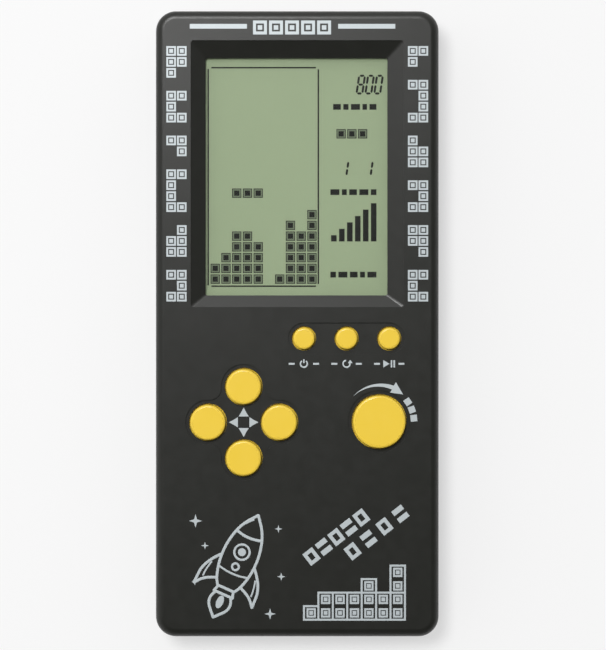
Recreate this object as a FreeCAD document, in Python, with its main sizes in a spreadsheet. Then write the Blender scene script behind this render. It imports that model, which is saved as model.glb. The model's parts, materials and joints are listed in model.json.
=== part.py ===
"""Handheld LCD block game: case, screen, keys, board, buzzer and battery bay, as separate pieces.

Frame: millimetres, +Z up. The game lies on its back, screen upwards. X runs across the case and
Y along it, towards the screen end. The origin is the middle of the rear face.
"""
import FreeCAD
import Part

import math
import os
import re

import Sketcher

Vector = FreeCAD.Vector
PARTS_FOLDER = "parts"
FLAT = 0.001  # how far two heights may differ and still be one height

# Each driving size: its name, its value and what it is. Values are millimetres, or a count or degrees
# where the words say so.
DIMENSIONS = (
    ("case_width", 81.4, "case, across"),
    ("case_length", 180.0, "case, top to bottom end"),
    ("case_depth", 22.5, "case, rear face to front face"),
    ("corner_radius", 5.8, "case corners, seen from the front"),
    ("front_edge_radius", 2.4, "rounding where the front face meets the sides"),
    ("rear_edge_radius", 3.0, "rounding where the rear face meets the sides"),
    ("wall", 2.0, "side walls of both case halves"),
    ("face_thickness", 2.0, "front face"),
    ("floor_thickness", 2.0, "rear face"),
    ("parting_height", 11.0, "where the two case halves meet"),
    ("lip_height", 1.2, "tongue of the rear half that the front half fits over"),
    ("lip_thickness", 0.8, "tongue of the rear half"),
    ("fit_gap", 0.1, "gap between pieces that slip together"),
    ("seam_bevel", 0.25, "bevel on each side of the seam"),
    ("window_width", 52.4, "opening over the display"),
    ("window_length", 68.3, "opening over the display"),
    ("window_x", -0.25, "middle of the opening"),
    ("window_y", 42.3, "middle of the opening"),
    ("window_corner", 0.6, "corner radius of the opening"),
    ("surround_width", 61.2, "sloping surround of the display, outside"),
    ("surround_length", 76.6, "sloping surround of the display, outside"),
    ("surround_y", 43.1, "middle of the surround"),
    ("surround_corner", 0.8, "corner radius of the surround"),
    ("surround_step", 0.35, "small upright step at the surround's outside"),
    ("surround_depth", 1.8, "front face down to the lowest edge of the slope"),
    ("window_lip", 0.8, "thickness of the edge round the opening"),
    ("collar_border", 1.6, "material round the surround, inside the case"),
    ("lens_border", 2.5, "how far the lens reaches past the opening"),
    ("lens_thickness", 1.0, "clear lens"),
    ("gasket_thickness", 0.3, "foam gasket between lens and display"),
    ("gasket_border", 2.2, "width of the gasket's sides"),
    ("gasket_inset", 0.6, "how far the gasket stays clear of the view"),
    ("glass_border", 2.8, "display glass past the opening, each side"),
    ("glass_ledge", 3.0, "bare end of the front glass that carries the contacts"),
    ("glass_thickness", 1.1, "each display glass"),
    ("film_thickness", 0.2, "polariser, and reflector"),
    ("film_border", 1.3, "polariser past the opening, each side"),
    ("glass_gap", 0.2, "display glass to its ribs"),
    ("rib_thickness", 1.2, "ribs round the display"),
    ("rib_relief", 0.6, "ribs' lower edge above the board"),
    ("zebra_width", 1.8, "elastomer connector"),
    ("zebra_length", 50.0, "elastomer connector"),
    ("board_width", 63.0, "circuit board"),
    ("board_thickness", 1.6, "circuit board"),
    ("board_top_y", 87.0, "upper edge of the board"),
    ("board_bottom_y", -46.0, "lower edge of the board"),
    ("board_corner", 2.0, "corner radius of the board"),
    ("dpad_x", -15.4, "middle of the four direction buttons"),
    ("dpad_y", -28.3, "middle of the four direction buttons"),
    ("direction_pitch", 10.25, "middle of the group to the middle of a direction button"),
    ("direction_diameter", 10.1, "direction button"),
    ("rotate_x", 23.5, "middle of the rotate button"),
    ("rotate_y", -28.1, "middle of the rotate button"),
    ("rotate_diameter", 15.1, "rotate button"),
    ("function_x", 14.15, "middle of the row of small buttons"),
    ("function_y", -4.2, "middle of the row of small buttons"),
    ("function_pitch", 12.25, "small button to small button"),
    ("function_diameter", 6.2, "small button"),
    ("button_gap", 0.4, "button to its hole, all round"),
    ("button_rounding", 0.7, "edge of a button's top"),
    ("flange_width", 0.8, "flange past the hole, which keeps a button in"),
    ("flange_thickness", 1.0, "flange of a button"),
    ("button_play", 0.05, "free play of a button above and below"),
    ("button_wall", 1.2, "side wall of a button, which is hollow from below"),
    ("button_top", 1.6, "thickness of a button's top"),
    ("plunger_radius", 1.6, "stem inside a button that presses the rubber"),
    ("direction_rise", 1.5, "direction button's top above the front face"),
    ("rotate_rise", 1.8, "rotate button's top above the front face"),
    ("function_rise", 1.0, "small button's top above the front face"),
    ("recess_depth", 0.45, "shallow recess round the buttons"),
    ("recess_border", 1.0, "recess past a button's hole"),
    ("dpad_fillet", 3.3, "hollow corners between the lobes of the direction recess"),
    ("rubber_height", 3.8, "rubber mat with its dome"),
    ("mat_thickness", 1.0, "flat sheet of a rubber mat"),
    ("mat_border", 1.2, "flat sheet past a dome"),
    ("direction_dome", 4.6, "foot radius of a dome under a direction button"),
    ("rotate_dome", 4.8, "foot radius of the dome under the rotate button"),
    ("function_dome", 3.4, "foot radius of a dome under a small button"),
    ("dome_wall", 1.3, "dome's foot to its hollow"),
    ("dome_roof", 1.0, "rubber above the hollow"),
    ("dome_taper", 14.0, "slope of a dome's side, in degrees"),
    ("stem_inset", 2.4, "dome's foot to the stem that carries the contact pill"),
    ("pill_thickness", 0.4, "conductive pill"),
    ("pill_height", 1.2, "pill above the board, at rest"),
    ("screw_x", 34.9, "case screws, from the middle line"),
    ("screw_top_y", 82.5, "upper pair of case screws"),
    ("screw_middle_y", -10.0, "middle pair of case screws"),
    ("screw_bottom_y", -82.5, "lower pair of case screws"),
    ("boss_radius", 2.9, "screw boss"),
    ("screw_radius", 1.3, "case screw's thread"),
    ("pilot_radius", 1.1, "hole that the case screw cuts its thread in"),
    ("screw_clearance", 0.2, "case screw to its hole in the rear half"),
    ("screw_length", 12.0, "case screw below its head"),
    ("screw_head_radius", 2.4, "case screw's head"),
    ("screw_head_height", 1.6, "case screw's head"),
    ("well_radius", 2.6, "well that the head goes into"),
    ("well_shelf", 5.0, "height of the shelf that the head sits on"),
    ("post_radius", 1.9, "posts that carry the board"),
    ("post_pilot_radius", 0.8, "hole in a post"),
    ("board_screw_radius", 1.0, "board screw's thread"),
    ("board_screw_length", 4.6, "board screw below its head"),
    ("board_screw_head_radius", 1.75, "board screw's head"),
    ("board_screw_head_height", 1.1, "board screw's head"),
    ("post_side_x", 24.0, "upper posts, from the middle line"),
    ("post_upper_y", 84.9, "upper posts"),
    ("post_left_x", -27.0, "post beside the small buttons"),
    ("post_left_y", -5.0, "post beside the small buttons"),
    ("post_middle_x", 7.6, "post between the direction and rotate buttons"),
    ("post_middle_y", -31.0, "post between the direction and rotate buttons"),
    ("post_lower_x", 28.2, "lower posts, from the middle line"),
    ("post_lower_y", -42.8, "lower posts"),
    ("cell_radius", 7.25, "battery cell"),
    ("cell_length", 50.5, "battery cell with its contact"),
    ("cell_nub_radius", 2.75, "raised contact of a cell"),
    ("cell_nub_height", 1.3, "raised contact of a cell"),
    ("cell_rounding", 0.5, "edges of a cell"),
    ("cell_pitch", 15.4, "cell to cell"),
    ("cell_gap", 0.3, "cell to the door, and to the bay's roof"),
    ("bay_y", -70.6, "middle of the battery bay"),
    ("bay_length", 57.5, "inside of the bay, along the cells"),
    ("bay_height", 31.2, "inside of the bay, across the cells"),
    ("bay_wall", 1.6, "walls and roof of the bay"),
    ("rail_width", 3.4, "foot of the bay's walls, which holds the door's groove"),
    ("rail_height", 4.5, "top of that foot"),
    ("door_lap", 0.25, "door plate past the bay, each side"),
    ("door_head", 1.3, "door plate past the bay's upper wall"),
    ("door_thickness", 1.8, "door plate"),
    ("door_end_height", 7.9, "door's end wall, which closes the case's end"),
    ("door_gap", 0.15, "door to the case"),
    ("tongue_width", 1.2, "tongue along the door's edges"),
    ("tongue_thickness", 0.8, "tongue along the door's edges"),
    ("grip_length", 16.0, "grip grooves on the door"),
    ("grip_width", 0.9, "grip grooves on the door"),
    ("grip_depth", 0.4, "grip grooves on the door"),
    ("grip_pitch", 2.2, "groove to groove"),
    ("grip_count", 6, "count of grip grooves"),
    ("contact_thickness", 0.4, "battery contact plates"),
    ("contact_width", 10.0, "single contact plates"),
    ("contact_height", 12.0, "contact plates"),
    ("tail_width", 2.4, "solder tail of a contact"),
    ("tail_rise", 1.2, "solder tail above the bay's roof"),
    ("spring_radius", 3.0, "coil of a battery spring"),
    ("spring_wire_radius", 0.35, "wire of a battery spring"),
    ("spring_turns", 4, "count of turns of a battery spring"),
    ("buzzer_x", 0.0, "middle of the buzzer"),
    ("buzzer_y", 24.0, "middle of the buzzer"),
    ("buzzer_radius", 13.5, "buzzer's brass disc"),
    ("buzzer_thickness", 0.3, "buzzer's brass disc"),
    ("ceramic_radius", 9.5, "buzzer's ceramic disc"),
    ("ceramic_thickness", 0.2, "buzzer's ceramic disc"),
    ("seat_height", 1.2, "ring that the buzzer is glued to"),
    ("seat_width", 1.6, "ring that the buzzer is glued to"),
    ("grille_hole_radius", 0.9, "sound holes"),
    ("grille_ring_radius", 5.0, "ring of sound holes"),
    ("grille_count", 8, "count of sound holes in the ring"),
    ("wire_radius", 0.5, "insulated wires"),
    ("wire_height", 0.1, "wires above what they lie on"),
    ("blob_x", -8.0, "resin blob over the chip"),
    ("blob_y", 36.0, "resin blob over the chip"),
    ("blob_radius", 8.0, "resin blob over the chip"),
    ("blob_height", 1.6, "resin blob over the chip"),
    ("capacitor_x", 20.0, "capacitor"),
    ("capacitor_y", -14.0, "capacitor"),
    ("capacitor_radius", 3.15, "capacitor"),
    ("capacitor_height", 7.0, "capacitor"),
    ("resistor_x", -19.3, "middle of the resistors"),
    ("resistor_y", -16.0, "middle one of the resistors"),
    ("resistor_pitch", 4.0, "resistor to resistor"),
    ("resistor_count", 3, "count of resistors"),
    ("resistor_radius", 1.1, "resistor"),
    ("resistor_length", 5.4, "resistor"),
    ("resistor_drop", 1.3, "middle of a resistor below the board"),
    ("lead_span", 7.8, "lead to lead of a resistor"),
    ("lead_radius", 0.3, "lead of a resistor"),
)

doc = FreeCAD.newDocument("handheld_lcd_game")
sizes = doc.addObject("Spreadsheet::Sheet", "sizes")
for row, (name, value, meaning) in enumerate(DIMENSIONS, start=1):
    sizes.set(f"A{row}", meaning)
    sizes.set(f"B{row}", str(value))
    sizes.setAlias(f"B{row}", name)
doc.recompute()
NAMES = {name for name, _, _ in DIMENSIONS}

# Heights that several pieces share, as formulas on the sheet.
CEILING = "(case_depth - face_thickness)"
LENS_TOP = "(case_depth - surround_depth - window_lip)"
LENS_BOTTOM = f"({LENS_TOP} - lens_thickness)"
FILM_TOP = f"({LENS_BOTTOM} - gasket_thickness)"
FRONT_GLASS = f"({FILM_TOP} - film_thickness - glass_thickness)"
REAR_GLASS = f"({FRONT_GLASS} - glass_thickness)"
REFLECTOR = f"({REAR_GLASS} - film_thickness)"
FLANGE_BOTTOM = f"({CEILING} - button_play - flange_thickness)"
BOARD_TOP = f"({FLANGE_BOTTOM} - button_play - rubber_height)"
BOARD_BOTTOM = f"({BOARD_TOP} - board_thickness)"
CELL_MIDDLE = "(door_thickness + cell_gap + cell_radius)"
BAY_ROOF = f"({CELL_MIDDLE} + cell_radius + cell_gap)"
BAY_TOP = f"({BAY_ROOF} + bay_wall)"
END_Y = "(-case_length / 2)"
DOOR_EDGE = "(bay_length / 2 + door_lap)"
DOOR_HEAD = "(bay_y + bay_height / 2 + door_head)"
GROOVE_EDGE = f"({DOOR_EDGE} + tongue_width + door_gap)"
TONGUE_BOTTOM = "(door_thickness - tongue_thickness)"
BUZZER_BOTTOM = "(floor_thickness + seat_height)"
GLASS_WIDTH = "(window_width + 2 * glass_border)"
REAR_GLASS_LENGTH = "(window_length + 2 * glass_border)"
GLASS_LENGTH = f"({REAR_GLASS_LENGTH} + 2 * glass_ledge)"

DIRECTIONS = {"up": (0, 1), "right": (1, 0), "down": (0, -1), "left": (-1, 0)}
FUNCTIONS = {"power": -1, "reset": 0, "start": 1}
CASE_SCREWS = [
    (side, f"{side} * screw_x", y)
    for y in ("screw_top_y", "screw_middle_y", "screw_bottom_y")
    for side in (-1, 1)
]
POSTS = [
    ("-post_side_x", "post_upper_y"),
    ("post_side_x", "post_upper_y"),
    ("post_left_x", "post_left_y"),
    ("post_middle_x", "post_middle_y"),
    ("-post_lower_x", "post_lower_y"),
    ("post_lower_x", "post_lower_y"),
]
sub_parts = []


def formula(text):
    """A formula on the sheet's names, written as objects outside the sheet need it."""
    return re.sub(
        r"[a-z][a-z_]*",
        lambda word: "sizes." + word.group() if word.group() in NAMES else word.group(),
        text,
    )


def number(text):
    """The value in millimetres of a formula on the sheet's names."""
    return float(sizes.evalExpression(text))


def wrap(*texts):
    """The formulas in brackets, so that they can stand inside a longer one."""
    return [f"({text})" for text in texts]


def bind(thing, **formulas):
    """Binds properties to formulas. A double underscore stands for a dot: Placement__Base__x."""
    for name, text in formulas.items():
        thing.setExpression(name.replace("__", "."), formula(text))


def place(thing, x="0", y="0", z="0"):
    bind(thing, Placement__Base__x=x, Placement__Base__y=y, Placement__Base__z=z)


def keep(thing, name):
    """Marks an object as a sub-part: its Label names its file."""
    thing.Label = name
    sub_parts.append(thing)
    return thing


# ---------------------------------------------------------------- sketches and features


def new_body(name, x="0", y="0"):
    body = keep(doc.addObject("PartDesign::Body", name), name)
    place(body, x, y)
    return body


def new_sketch(body, name, height="0"):
    """An empty sketch, level, at a height above the body's own XY plane."""
    sketch = body.newObject("Sketcher::SketchObject", f"{body.Name}_{name}")
    plane = next(f for f in body.Origin.OriginFeatures if f.Role == "XY_Plane")
    sketch.AttachmentSupport = [(plane, "")]
    sketch.MapMode = "FlatFace"
    bind(sketch, AttachmentOffset__Base__z=height)
    return sketch


def hold(sketch, kind, *where, to):
    """Adds a dimension to a sketch and binds it to a formula."""
    index = sketch.addConstraint(Sketcher.Constraint(kind, *where, number(to)))
    sketch.setExpression(f"Constraints[{index}]", formula(to))


def draw_circle(sketch, radius, x="0", y="0"):
    shape = Part.Circle(Vector(number(x), number(y), 0), Vector(0, 0, 1), number(radius))
    index = sketch.addGeometry(shape, False)
    hold(sketch, "Radius", index, to=radius)
    hold(sketch, "DistanceX", index, 3, to=x)
    hold(sketch, "DistanceY", index, 3, to=y)


def draw_rectangle(sketch, width, length, x="0", y="0", corner=None):
    """A rectangle about (x, y), with round corners if a corner radius is given."""
    width, length, x, y = wrap(width, length, x, y)
    radius = number(corner) if corner else 0.0
    left, right = number(f"{x} - {width} / 2"), number(f"{x} + {width} / 2")
    low, high = number(f"{y} - {length} / 2"), number(f"{y} + {length} / 2")
    ends = [
        (left + radius, low, right - radius, low),
        (right, low + radius, right, high - radius),
        (right - radius, high, left + radius, high),
        (left, high - radius, left, low + radius),
    ]
    sides = [
        sketch.addGeometry(Part.LineSegment(Vector(a, b, 0), Vector(c, d, 0)), False)
        for a, b, c, d in ends
    ]
    for side, kind in zip(sides, ("Horizontal", "Vertical") * 2):
        sketch.addConstraint(Sketcher.Constraint(kind, side))
    if corner:
        join_with_arcs(sketch, sides, ends, radius)
        hold(sketch, "Radius", sides[-1] + 1, to=corner)
    else:
        for side, after in zip(sides, sides[1:] + sides[:1]):
            sketch.addConstraint(Sketcher.Constraint("Coincident", side, 2, after, 1))
    hold(sketch, "DistanceX", sides[3], 2, sides[1], 1, to=width)
    hold(sketch, "DistanceY", sides[0], 2, sides[2], 1, to=length)
    hold(sketch, "DistanceX", sides[3], 2, to=f"{x} - {width} / 2")
    hold(sketch, "DistanceY", sides[0], 1, to=f"{y} - {length} / 2")


def join_with_arcs(sketch, sides, ends, radius):
    """Round corners for a rectangle's four sides, all of one radius."""
    quarter = math.pi / 2
    centres = [
        (ends[0][2], ends[1][1]),
        (ends[2][0], ends[1][3]),
        (ends[2][2], ends[3][1]),
        (ends[0][0], ends[3][3]),
    ]
    arcs = []
    for turn, (x, y) in enumerate(centres, start=-1):
        circle = Part.Circle(Vector(x, y, 0), Vector(0, 0, 1), radius)
        arc = Part.ArcOfCircle(circle, turn * quarter, (turn + 1) * quarter)
        arcs.append(sketch.addGeometry(arc, False))
    for side, arc, after in zip(sides, arcs, sides[1:] + sides[:1]):
        sketch.addConstraint(Sketcher.Constraint("Tangent", side, 2, arc, 1))
        sketch.addConstraint(Sketcher.Constraint("Tangent", arc, 2, after, 1))
    for arc in arcs[1:]:
        sketch.addConstraint(Sketcher.Constraint("Equal", arcs[0], arc))


def draw_stadium(sketch, radius, reach, x="0", y="0"):
    """A row with round ends: the ends' middles lie at reach to each side of (x, y)."""
    radius, reach, x, y = wrap(radius, reach, x, y)
    r, d, middle_x, middle_y = number(radius), number(reach), number(x), number(y)
    arcs, sides = [], []
    for side in (1, -1):
        centre = Vector(middle_x + side * d, middle_y, 0)
        circle = Part.Circle(centre, Vector(0, 0, 1), r)
        start = -side * math.pi / 2
        arcs.append(sketch.addGeometry(Part.ArcOfCircle(circle, start, start + math.pi), False))
        first = Vector(middle_x + side * d, middle_y + side * r, 0)
        last = Vector(middle_x - side * d, middle_y + side * r, 0)
        sides.append(sketch.addGeometry(Part.LineSegment(first, last), False))
    for turn in (0, 1):
        sketch.addConstraint(Sketcher.Constraint("Tangent", arcs[turn], 2, sides[turn], 1))
        sketch.addConstraint(Sketcher.Constraint("Tangent", sides[turn], 2, arcs[1 - turn], 1))
        hold(sketch, "DistanceX", arcs[turn], 3, to=f"{x} + {1 - 2 * turn} * {reach}")
    hold(sketch, "DistanceY", arcs[0], 3, to=y)
    sketch.addConstraint(Sketcher.Constraint("Horizontal", sides[0]))
    hold(sketch, "Radius", arcs[0], to=radius)


def draw_lobes(sketch, lobe, pitch, hollow):
    """Four round lobes about the sketch's origin, joined by hollow arcs that touch both."""
    lobe, pitch, hollow = wrap(lobe, pitch, hollow)
    r, d, h = number(lobe), number(pitch), number(hollow)
    half = d / math.sqrt(2)
    reach = half + math.sqrt((r + h) ** 2 - half**2)
    lean = math.atan2(reach / math.sqrt(2), reach / math.sqrt(2) - d)
    lobes, hollows = [], []
    for turn in range(4):
        angle = turn * math.pi / 2
        middle = Vector(d * math.cos(angle), d * math.sin(angle), 0)
        circle = Part.Circle(middle, Vector(0, 0, 1), r)
        arc = Part.ArcOfCircle(circle, angle - lean, angle + lean)
        lobes.append(sketch.addGeometry(arc, False))
        slant = angle + math.pi / 4
        middle = Vector(reach * math.cos(slant), reach * math.sin(slant), 0)
        circle = Part.Circle(middle, Vector(0, 0, 1), h)
        start = angle + math.pi / 2 - lean + math.pi
        arc = Part.ArcOfCircle(circle, start, angle + lean + math.pi + 2 * math.pi)
        hollows.append(sketch.addGeometry(arc, False))
    for turn, lobe_arc in enumerate(lobes):
        sketch.addConstraint(Sketcher.Constraint("Tangent", lobe_arc, 2, hollows[turn], 2))
        after = lobes[(turn + 1) % 4]
        sketch.addConstraint(Sketcher.Constraint("Tangent", hollows[turn], 1, after, 1))
        across, along = DIRECTIONS[("right", "up", "left", "down")[turn]]
        hold(sketch, "DistanceX", lobe_arc, 3, to=f"{across} * {pitch}")
        hold(sketch, "DistanceY", lobe_arc, 3, to=f"{along} * {pitch}")
        if turn:
            sketch.addConstraint(Sketcher.Constraint("Equal", lobes[0], lobe_arc))
            sketch.addConstraint(Sketcher.Constraint("Equal", hollows[0], hollows[turn]))
    hold(sketch, "Radius", lobes[0], to=lobe)
    hold(sketch, "Radius", hollows[0], to=hollow)


def new_feature(sketch, kind, length, **formulas):
    body = sketch.getParentGeoFeatureGroup()
    feature = body.newObject(f"PartDesign::{kind}", f"{sketch.Name}_{kind.lower()}")
    feature.Profile = sketch
    bind(feature, Length=length, **formulas)
    return feature


def pad(sketch, length, **formulas):
    """Adds material upwards from a sketch."""
    feature = new_feature(sketch, "Pad", length, **formulas)
    doc.recompute()
    return feature


def pocket(sketch, depth, upward=False):
    """Cuts material away from a sketch, downwards unless upward is set."""
    before = sketch.getParentGeoFeatureGroup().Tip.Shape.Volume
    feature = new_feature(sketch, "Pocket", depth)
    feature.Reversed = upward
    doc.recompute()
    if not feature.Shape.Volume < before - FLAT:
        raise RuntimeError(f"{feature.Name} cuts nothing")
    return feature


def edges_at(shape, height, chosen=lambda edge: True):
    """Names of the level edges at a height."""
    found = []
    for index, edge in enumerate(shape.Edges, start=1):
        box = edge.BoundBox
        level = abs(box.ZMin - height) < FLAT and abs(box.ZMax - height) < FLAT
        if level and chosen(edge):
            found.append(f"Edge{index}")
    return found


def soften(body, kind, size, height, chosen=lambda edge: True):
    """A fillet or chamfer on the body's level edges at a height."""
    base = body.Tip
    feature = body.newObject(f"PartDesign::{kind}", f"{body.Name}_{kind.lower()}")
    feature.Base = (base, edges_at(base.Shape, number(height), chosen))
    bind(feature, **{"Radius" if kind == "Fillet" else "Size": size})
    doc.recompute()
    return feature


def is_outside(edge):
    """Whether an edge lies on the case's outer outline."""
    reach_x, reach_y = number("case_width / 2"), number("case_length / 2")
    return any(
        abs(abs(vertex.X) - reach_x) < FLAT or abs(abs(vertex.Y) - reach_y) < FLAT
        for vertex in edge.Vertexes
    )


# ---------------------------------------------------------------- simple solids


def new_box(name, width, length, height, x="0", y="0", z="0"):
    """A box about (x, y), standing on z."""
    width, length, x, y = wrap(width, length, x, y)
    box = doc.addObject("Part::Box", name)
    bind(box, Length=width, Width=length, Height=height)
    place(box, f"{x} - {width} / 2", f"{y} - {length} / 2", z)
    return box


def new_cylinder(name, radius, height, x="0", y="0", z="0"):
    cylinder = doc.addObject("Part::Cylinder", name)
    bind(cylinder, Radius=radius, Height=height)
    place(cylinder, x, y, z)
    return cylinder


def cut(name, base, tool):
    result = doc.addObject("Part::Cut", name)
    result.Base, result.Tool = base, tool
    return result


def fuse(name, *shapes):
    result = doc.addObject("Part::MultiFuse", name)
    result.Shapes = list(shapes)
    return result


def group(name, *shapes):
    """Several separate solids as one sub-part."""
    result = doc.addObject("Part::Compound", name)
    result.Links = list(shapes)
    return keep(result, name)


# ---------------------------------------------------------------- the case


def make_front_case():
    body = new_body("front_case")
    outline = new_sketch(body, "outline", "parting_height")
    draw_rectangle(outline, "case_width", "case_length", corner="corner_radius")
    pad(outline, "case_depth - parting_height")
    soften(body, "Fillet", "front_edge_radius", "case_depth")
    cavity = new_sketch(body, "cavity", "parting_height")
    draw_rectangle(
        cavity,
        "case_width - 2 * wall",
        "case_length - 2 * wall",
        corner="corner_radius - wall",
    )
    pocket(cavity, f"{CEILING} - parting_height", upward=True)
    rebate = new_sketch(body, "rebate", "parting_height")
    draw_rectangle(
        rebate,
        "case_width - 2 * wall + 2 * lip_thickness + 2 * fit_gap",
        "case_length - 2 * wall + 2 * lip_thickness + 2 * fit_gap",
        corner="corner_radius - wall + lip_thickness + fit_gap",
    )
    pocket(rebate, "lip_height + fit_gap", upward=True)
    add_screen_collar(body)
    add_bosses(body)
    cut_screen_opening(body)
    cut_button_holes(body)
    soften(body, "Chamfer", "seam_bevel", "parting_height", is_outside)


def add_screen_collar(body):
    """Thick block under the surround, and the ribs that hold the display."""
    collar = new_sketch(body, "collar", LENS_BOTTOM)
    draw_rectangle(
        collar,
        "surround_width + 2 * collar_border",
        "surround_length + 2 * collar_border",
        y="surround_y",
    )
    pad(collar, f"{CEILING} - {LENS_BOTTOM}")
    ribs = new_sketch(body, "ribs", f"{BOARD_TOP} + rib_relief")
    inner_width = f"({GLASS_WIDTH} + 2 * glass_gap)"
    inner_length = f"({GLASS_LENGTH} + 2 * glass_gap)"
    outer_width = f"({inner_width} + 2 * rib_thickness)"
    outer_length = f"({inner_length} + 2 * rib_thickness)"
    draw_rectangle(ribs, outer_width, outer_length, "window_x", "window_y")
    draw_rectangle(ribs, inner_width, inner_length, "window_x", "window_y")
    pad(ribs, f"{CEILING} - {BOARD_TOP} - rib_relief")


def add_bosses(body):
    bosses = new_sketch(body, "bosses", "parting_height")
    for _, x, y in CASE_SCREWS:
        draw_circle(bosses, "boss_radius", x, y)
    pad(bosses, f"{CEILING} - parting_height")
    posts = new_sketch(body, "posts", BOARD_TOP)
    for x, y in POSTS:
        draw_circle(posts, "post_radius", x, y)
    pad(posts, f"{CEILING} - {BOARD_TOP}")
    pilots = new_sketch(body, "pilots", "parting_height")
    for _, x, y in CASE_SCREWS:
        draw_circle(pilots, "pilot_radius", x, y)
    pocket(pilots, f"{CEILING} - parting_height - wall / 2", upward=True)
    holes = new_sketch(body, "post_holes", BOARD_TOP)
    for x, y in POSTS:
        draw_circle(holes, "post_pilot_radius", x, y)
    pocket(holes, f"{CEILING} - {BOARD_TOP} - wall / 2", upward=True)


def cut_screen_opening(body):
    """Step, slope, opening and the lens's seat."""
    step = new_sketch(body, "surround_step", "case_depth")
    draw_rectangle(step, "surround_width", "surround_length", y="surround_y", corner="surround_corner")
    pocket(step, "surround_step")
    rim = new_sketch(body, "slope_rim", "case_depth - surround_step")
    draw_rectangle(rim, "surround_width", "surround_length", y="surround_y", corner="surround_corner")
    foot = new_sketch(body, "slope_foot", "case_depth - surround_depth")
    draw_rectangle(foot, "window_width", "window_length", "window_x", "window_y", "window_corner")
    slope = body.newObject("PartDesign::SubtractiveLoft", "front_case_slope")
    slope.Profile = rim
    slope.Sections = [foot]
    slope.Ruled = True
    doc.recompute()
    opening = new_sketch(body, "opening", "case_depth - surround_depth + window_lip / 2")
    draw_rectangle(opening, "window_width", "window_length", "window_x", "window_y", "window_corner")
    pocket(opening, "window_lip * 2")
    seat = new_sketch(body, "lens_seat", LENS_BOTTOM)
    draw_rectangle(
        seat,
        "window_width + 2 * lens_border + 2 * fit_gap",
        "window_length + 2 * lens_border + 2 * fit_gap",
        "window_x",
        "window_y",
    )
    pocket(seat, "lens_thickness", upward=True)


def cut_button_holes(body):
    """Shallow recesses, and a hole for each button."""
    floor = "case_depth - recess_depth"
    direction = new_sketch(body, "direction_recess", floor)
    bind(direction, AttachmentOffset__Base__x="dpad_x", AttachmentOffset__Base__y="dpad_y")
    lobe = "(direction_diameter / 2 + button_gap + recess_border)"
    draw_lobes(direction, lobe, "direction_pitch", "dpad_fillet")
    pocket(direction, "recess_depth", upward=True)
    row = new_sketch(body, "function_recess", floor)
    lobe = "(function_diameter / 2 + button_gap + recess_border)"
    draw_stadium(row, lobe, "function_pitch", "function_x", "function_y")
    pocket(row, "recess_depth", upward=True)
    ring = new_sketch(body, "rotate_recess", floor)
    draw_circle(ring, "rotate_diameter / 2 + button_gap + recess_border", "rotate_x", "rotate_y")
    pocket(ring, "recess_depth", upward=True)
    holes = new_sketch(body, "button_holes", CEILING)
    for x, y, diameter in button_places():
        draw_circle(holes, f"{diameter} / 2 + button_gap", x, y)
    pocket(holes, "face_thickness", upward=True)


def button_places():
    """The middle and diameter of each button, as formulas."""
    places = [
        (
            f"dpad_x + {across} * direction_pitch",
            f"dpad_y + {along} * direction_pitch",
            "direction_diameter",
        )
        for across, along in DIRECTIONS.values()
    ]
    places += [
        (f"function_x + {side} * function_pitch", "function_y", "function_diameter")
        for side in FUNCTIONS.values()
    ]
    return places + [("rotate_x", "rotate_y", "rotate_diameter")]


def rear_shell(body):
    """The rear half as a plain tray: the door is cut from the same tray."""
    outline = new_sketch(body, "outline")
    draw_rectangle(outline, "case_width", "case_length", corner="corner_radius")
    pad(outline, "parting_height")
    soften(body, "Fillet", "rear_edge_radius", "0")
    cavity = new_sketch(body, "cavity", "floor_thickness")
    draw_rectangle(
        cavity,
        "case_width - 2 * wall",
        "case_length - 2 * wall",
        corner="corner_radius - wall",
    )
    pocket(cavity, "parting_height - floor_thickness", upward=True)


def make_rear_case():
    body = new_body("rear_case")
    rear_shell(body)
    soften(body, "Chamfer", "seam_bevel", "parting_height", is_outside)
    add_lip(body)
    add_bay(body)
    add_rear_bosses(body)
    cut_door_opening(body)
    cut_grille(body)


def add_lip(body):
    """Tongue that stands inside the front half's rebate, on a thin ledge down to the floor."""
    lip = new_sketch(body, "lip", "parting_height - lip_height")
    inner = "(case_{} - 2 * wall)"
    for grow in ("2 * lip_thickness", "0"):
        draw_rectangle(
            lip,
            f"{inner.format('width')} + {grow}",
            f"{inner.format('length')} + {grow}",
            corner=f"corner_radius - wall + ({grow}) / 2",
        )
    pad(lip, "2 * lip_height")


def add_bay(body):
    """Walls and roof of the battery bay, still solid, and the buzzer's ring."""
    bay_low, bay_high = "(bay_y - bay_height / 2 - bay_wall)", "(bay_y + bay_height / 2 + bay_wall)"
    in_end_wall = f"({END_Y} + wall / 2)"
    in_floor = "floor_thickness / 2"
    rail_high = "(bay_y + bay_height / 2 + rail_width)"
    blocks = (
        ("rail", in_floor, "rail_height", "bay_length + 2 * rail_width", in_end_wall, rail_high),
        ("bay_end", in_floor, "parting_height - lip_height", "bay_length", in_end_wall, bay_high),
        ("bay_block", in_floor, BAY_TOP, "bay_length + 2 * bay_wall", bay_low, bay_high),
    )
    for name, bottom, top, width, low, high in blocks:
        sketch = new_sketch(body, name, bottom)
        draw_rectangle(sketch, width, f"{high} - {low}", y=f"({high} + {low}) / 2")
        pad(sketch, f"{top} - {bottom}")
    seat = new_sketch(body, "buzzer_seat", "floor_thickness")
    draw_circle(seat, "buzzer_radius", "buzzer_x", "buzzer_y")
    draw_circle(seat, "buzzer_radius - seat_width", "buzzer_x", "buzzer_y")
    pad(seat, "seat_height")


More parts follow.
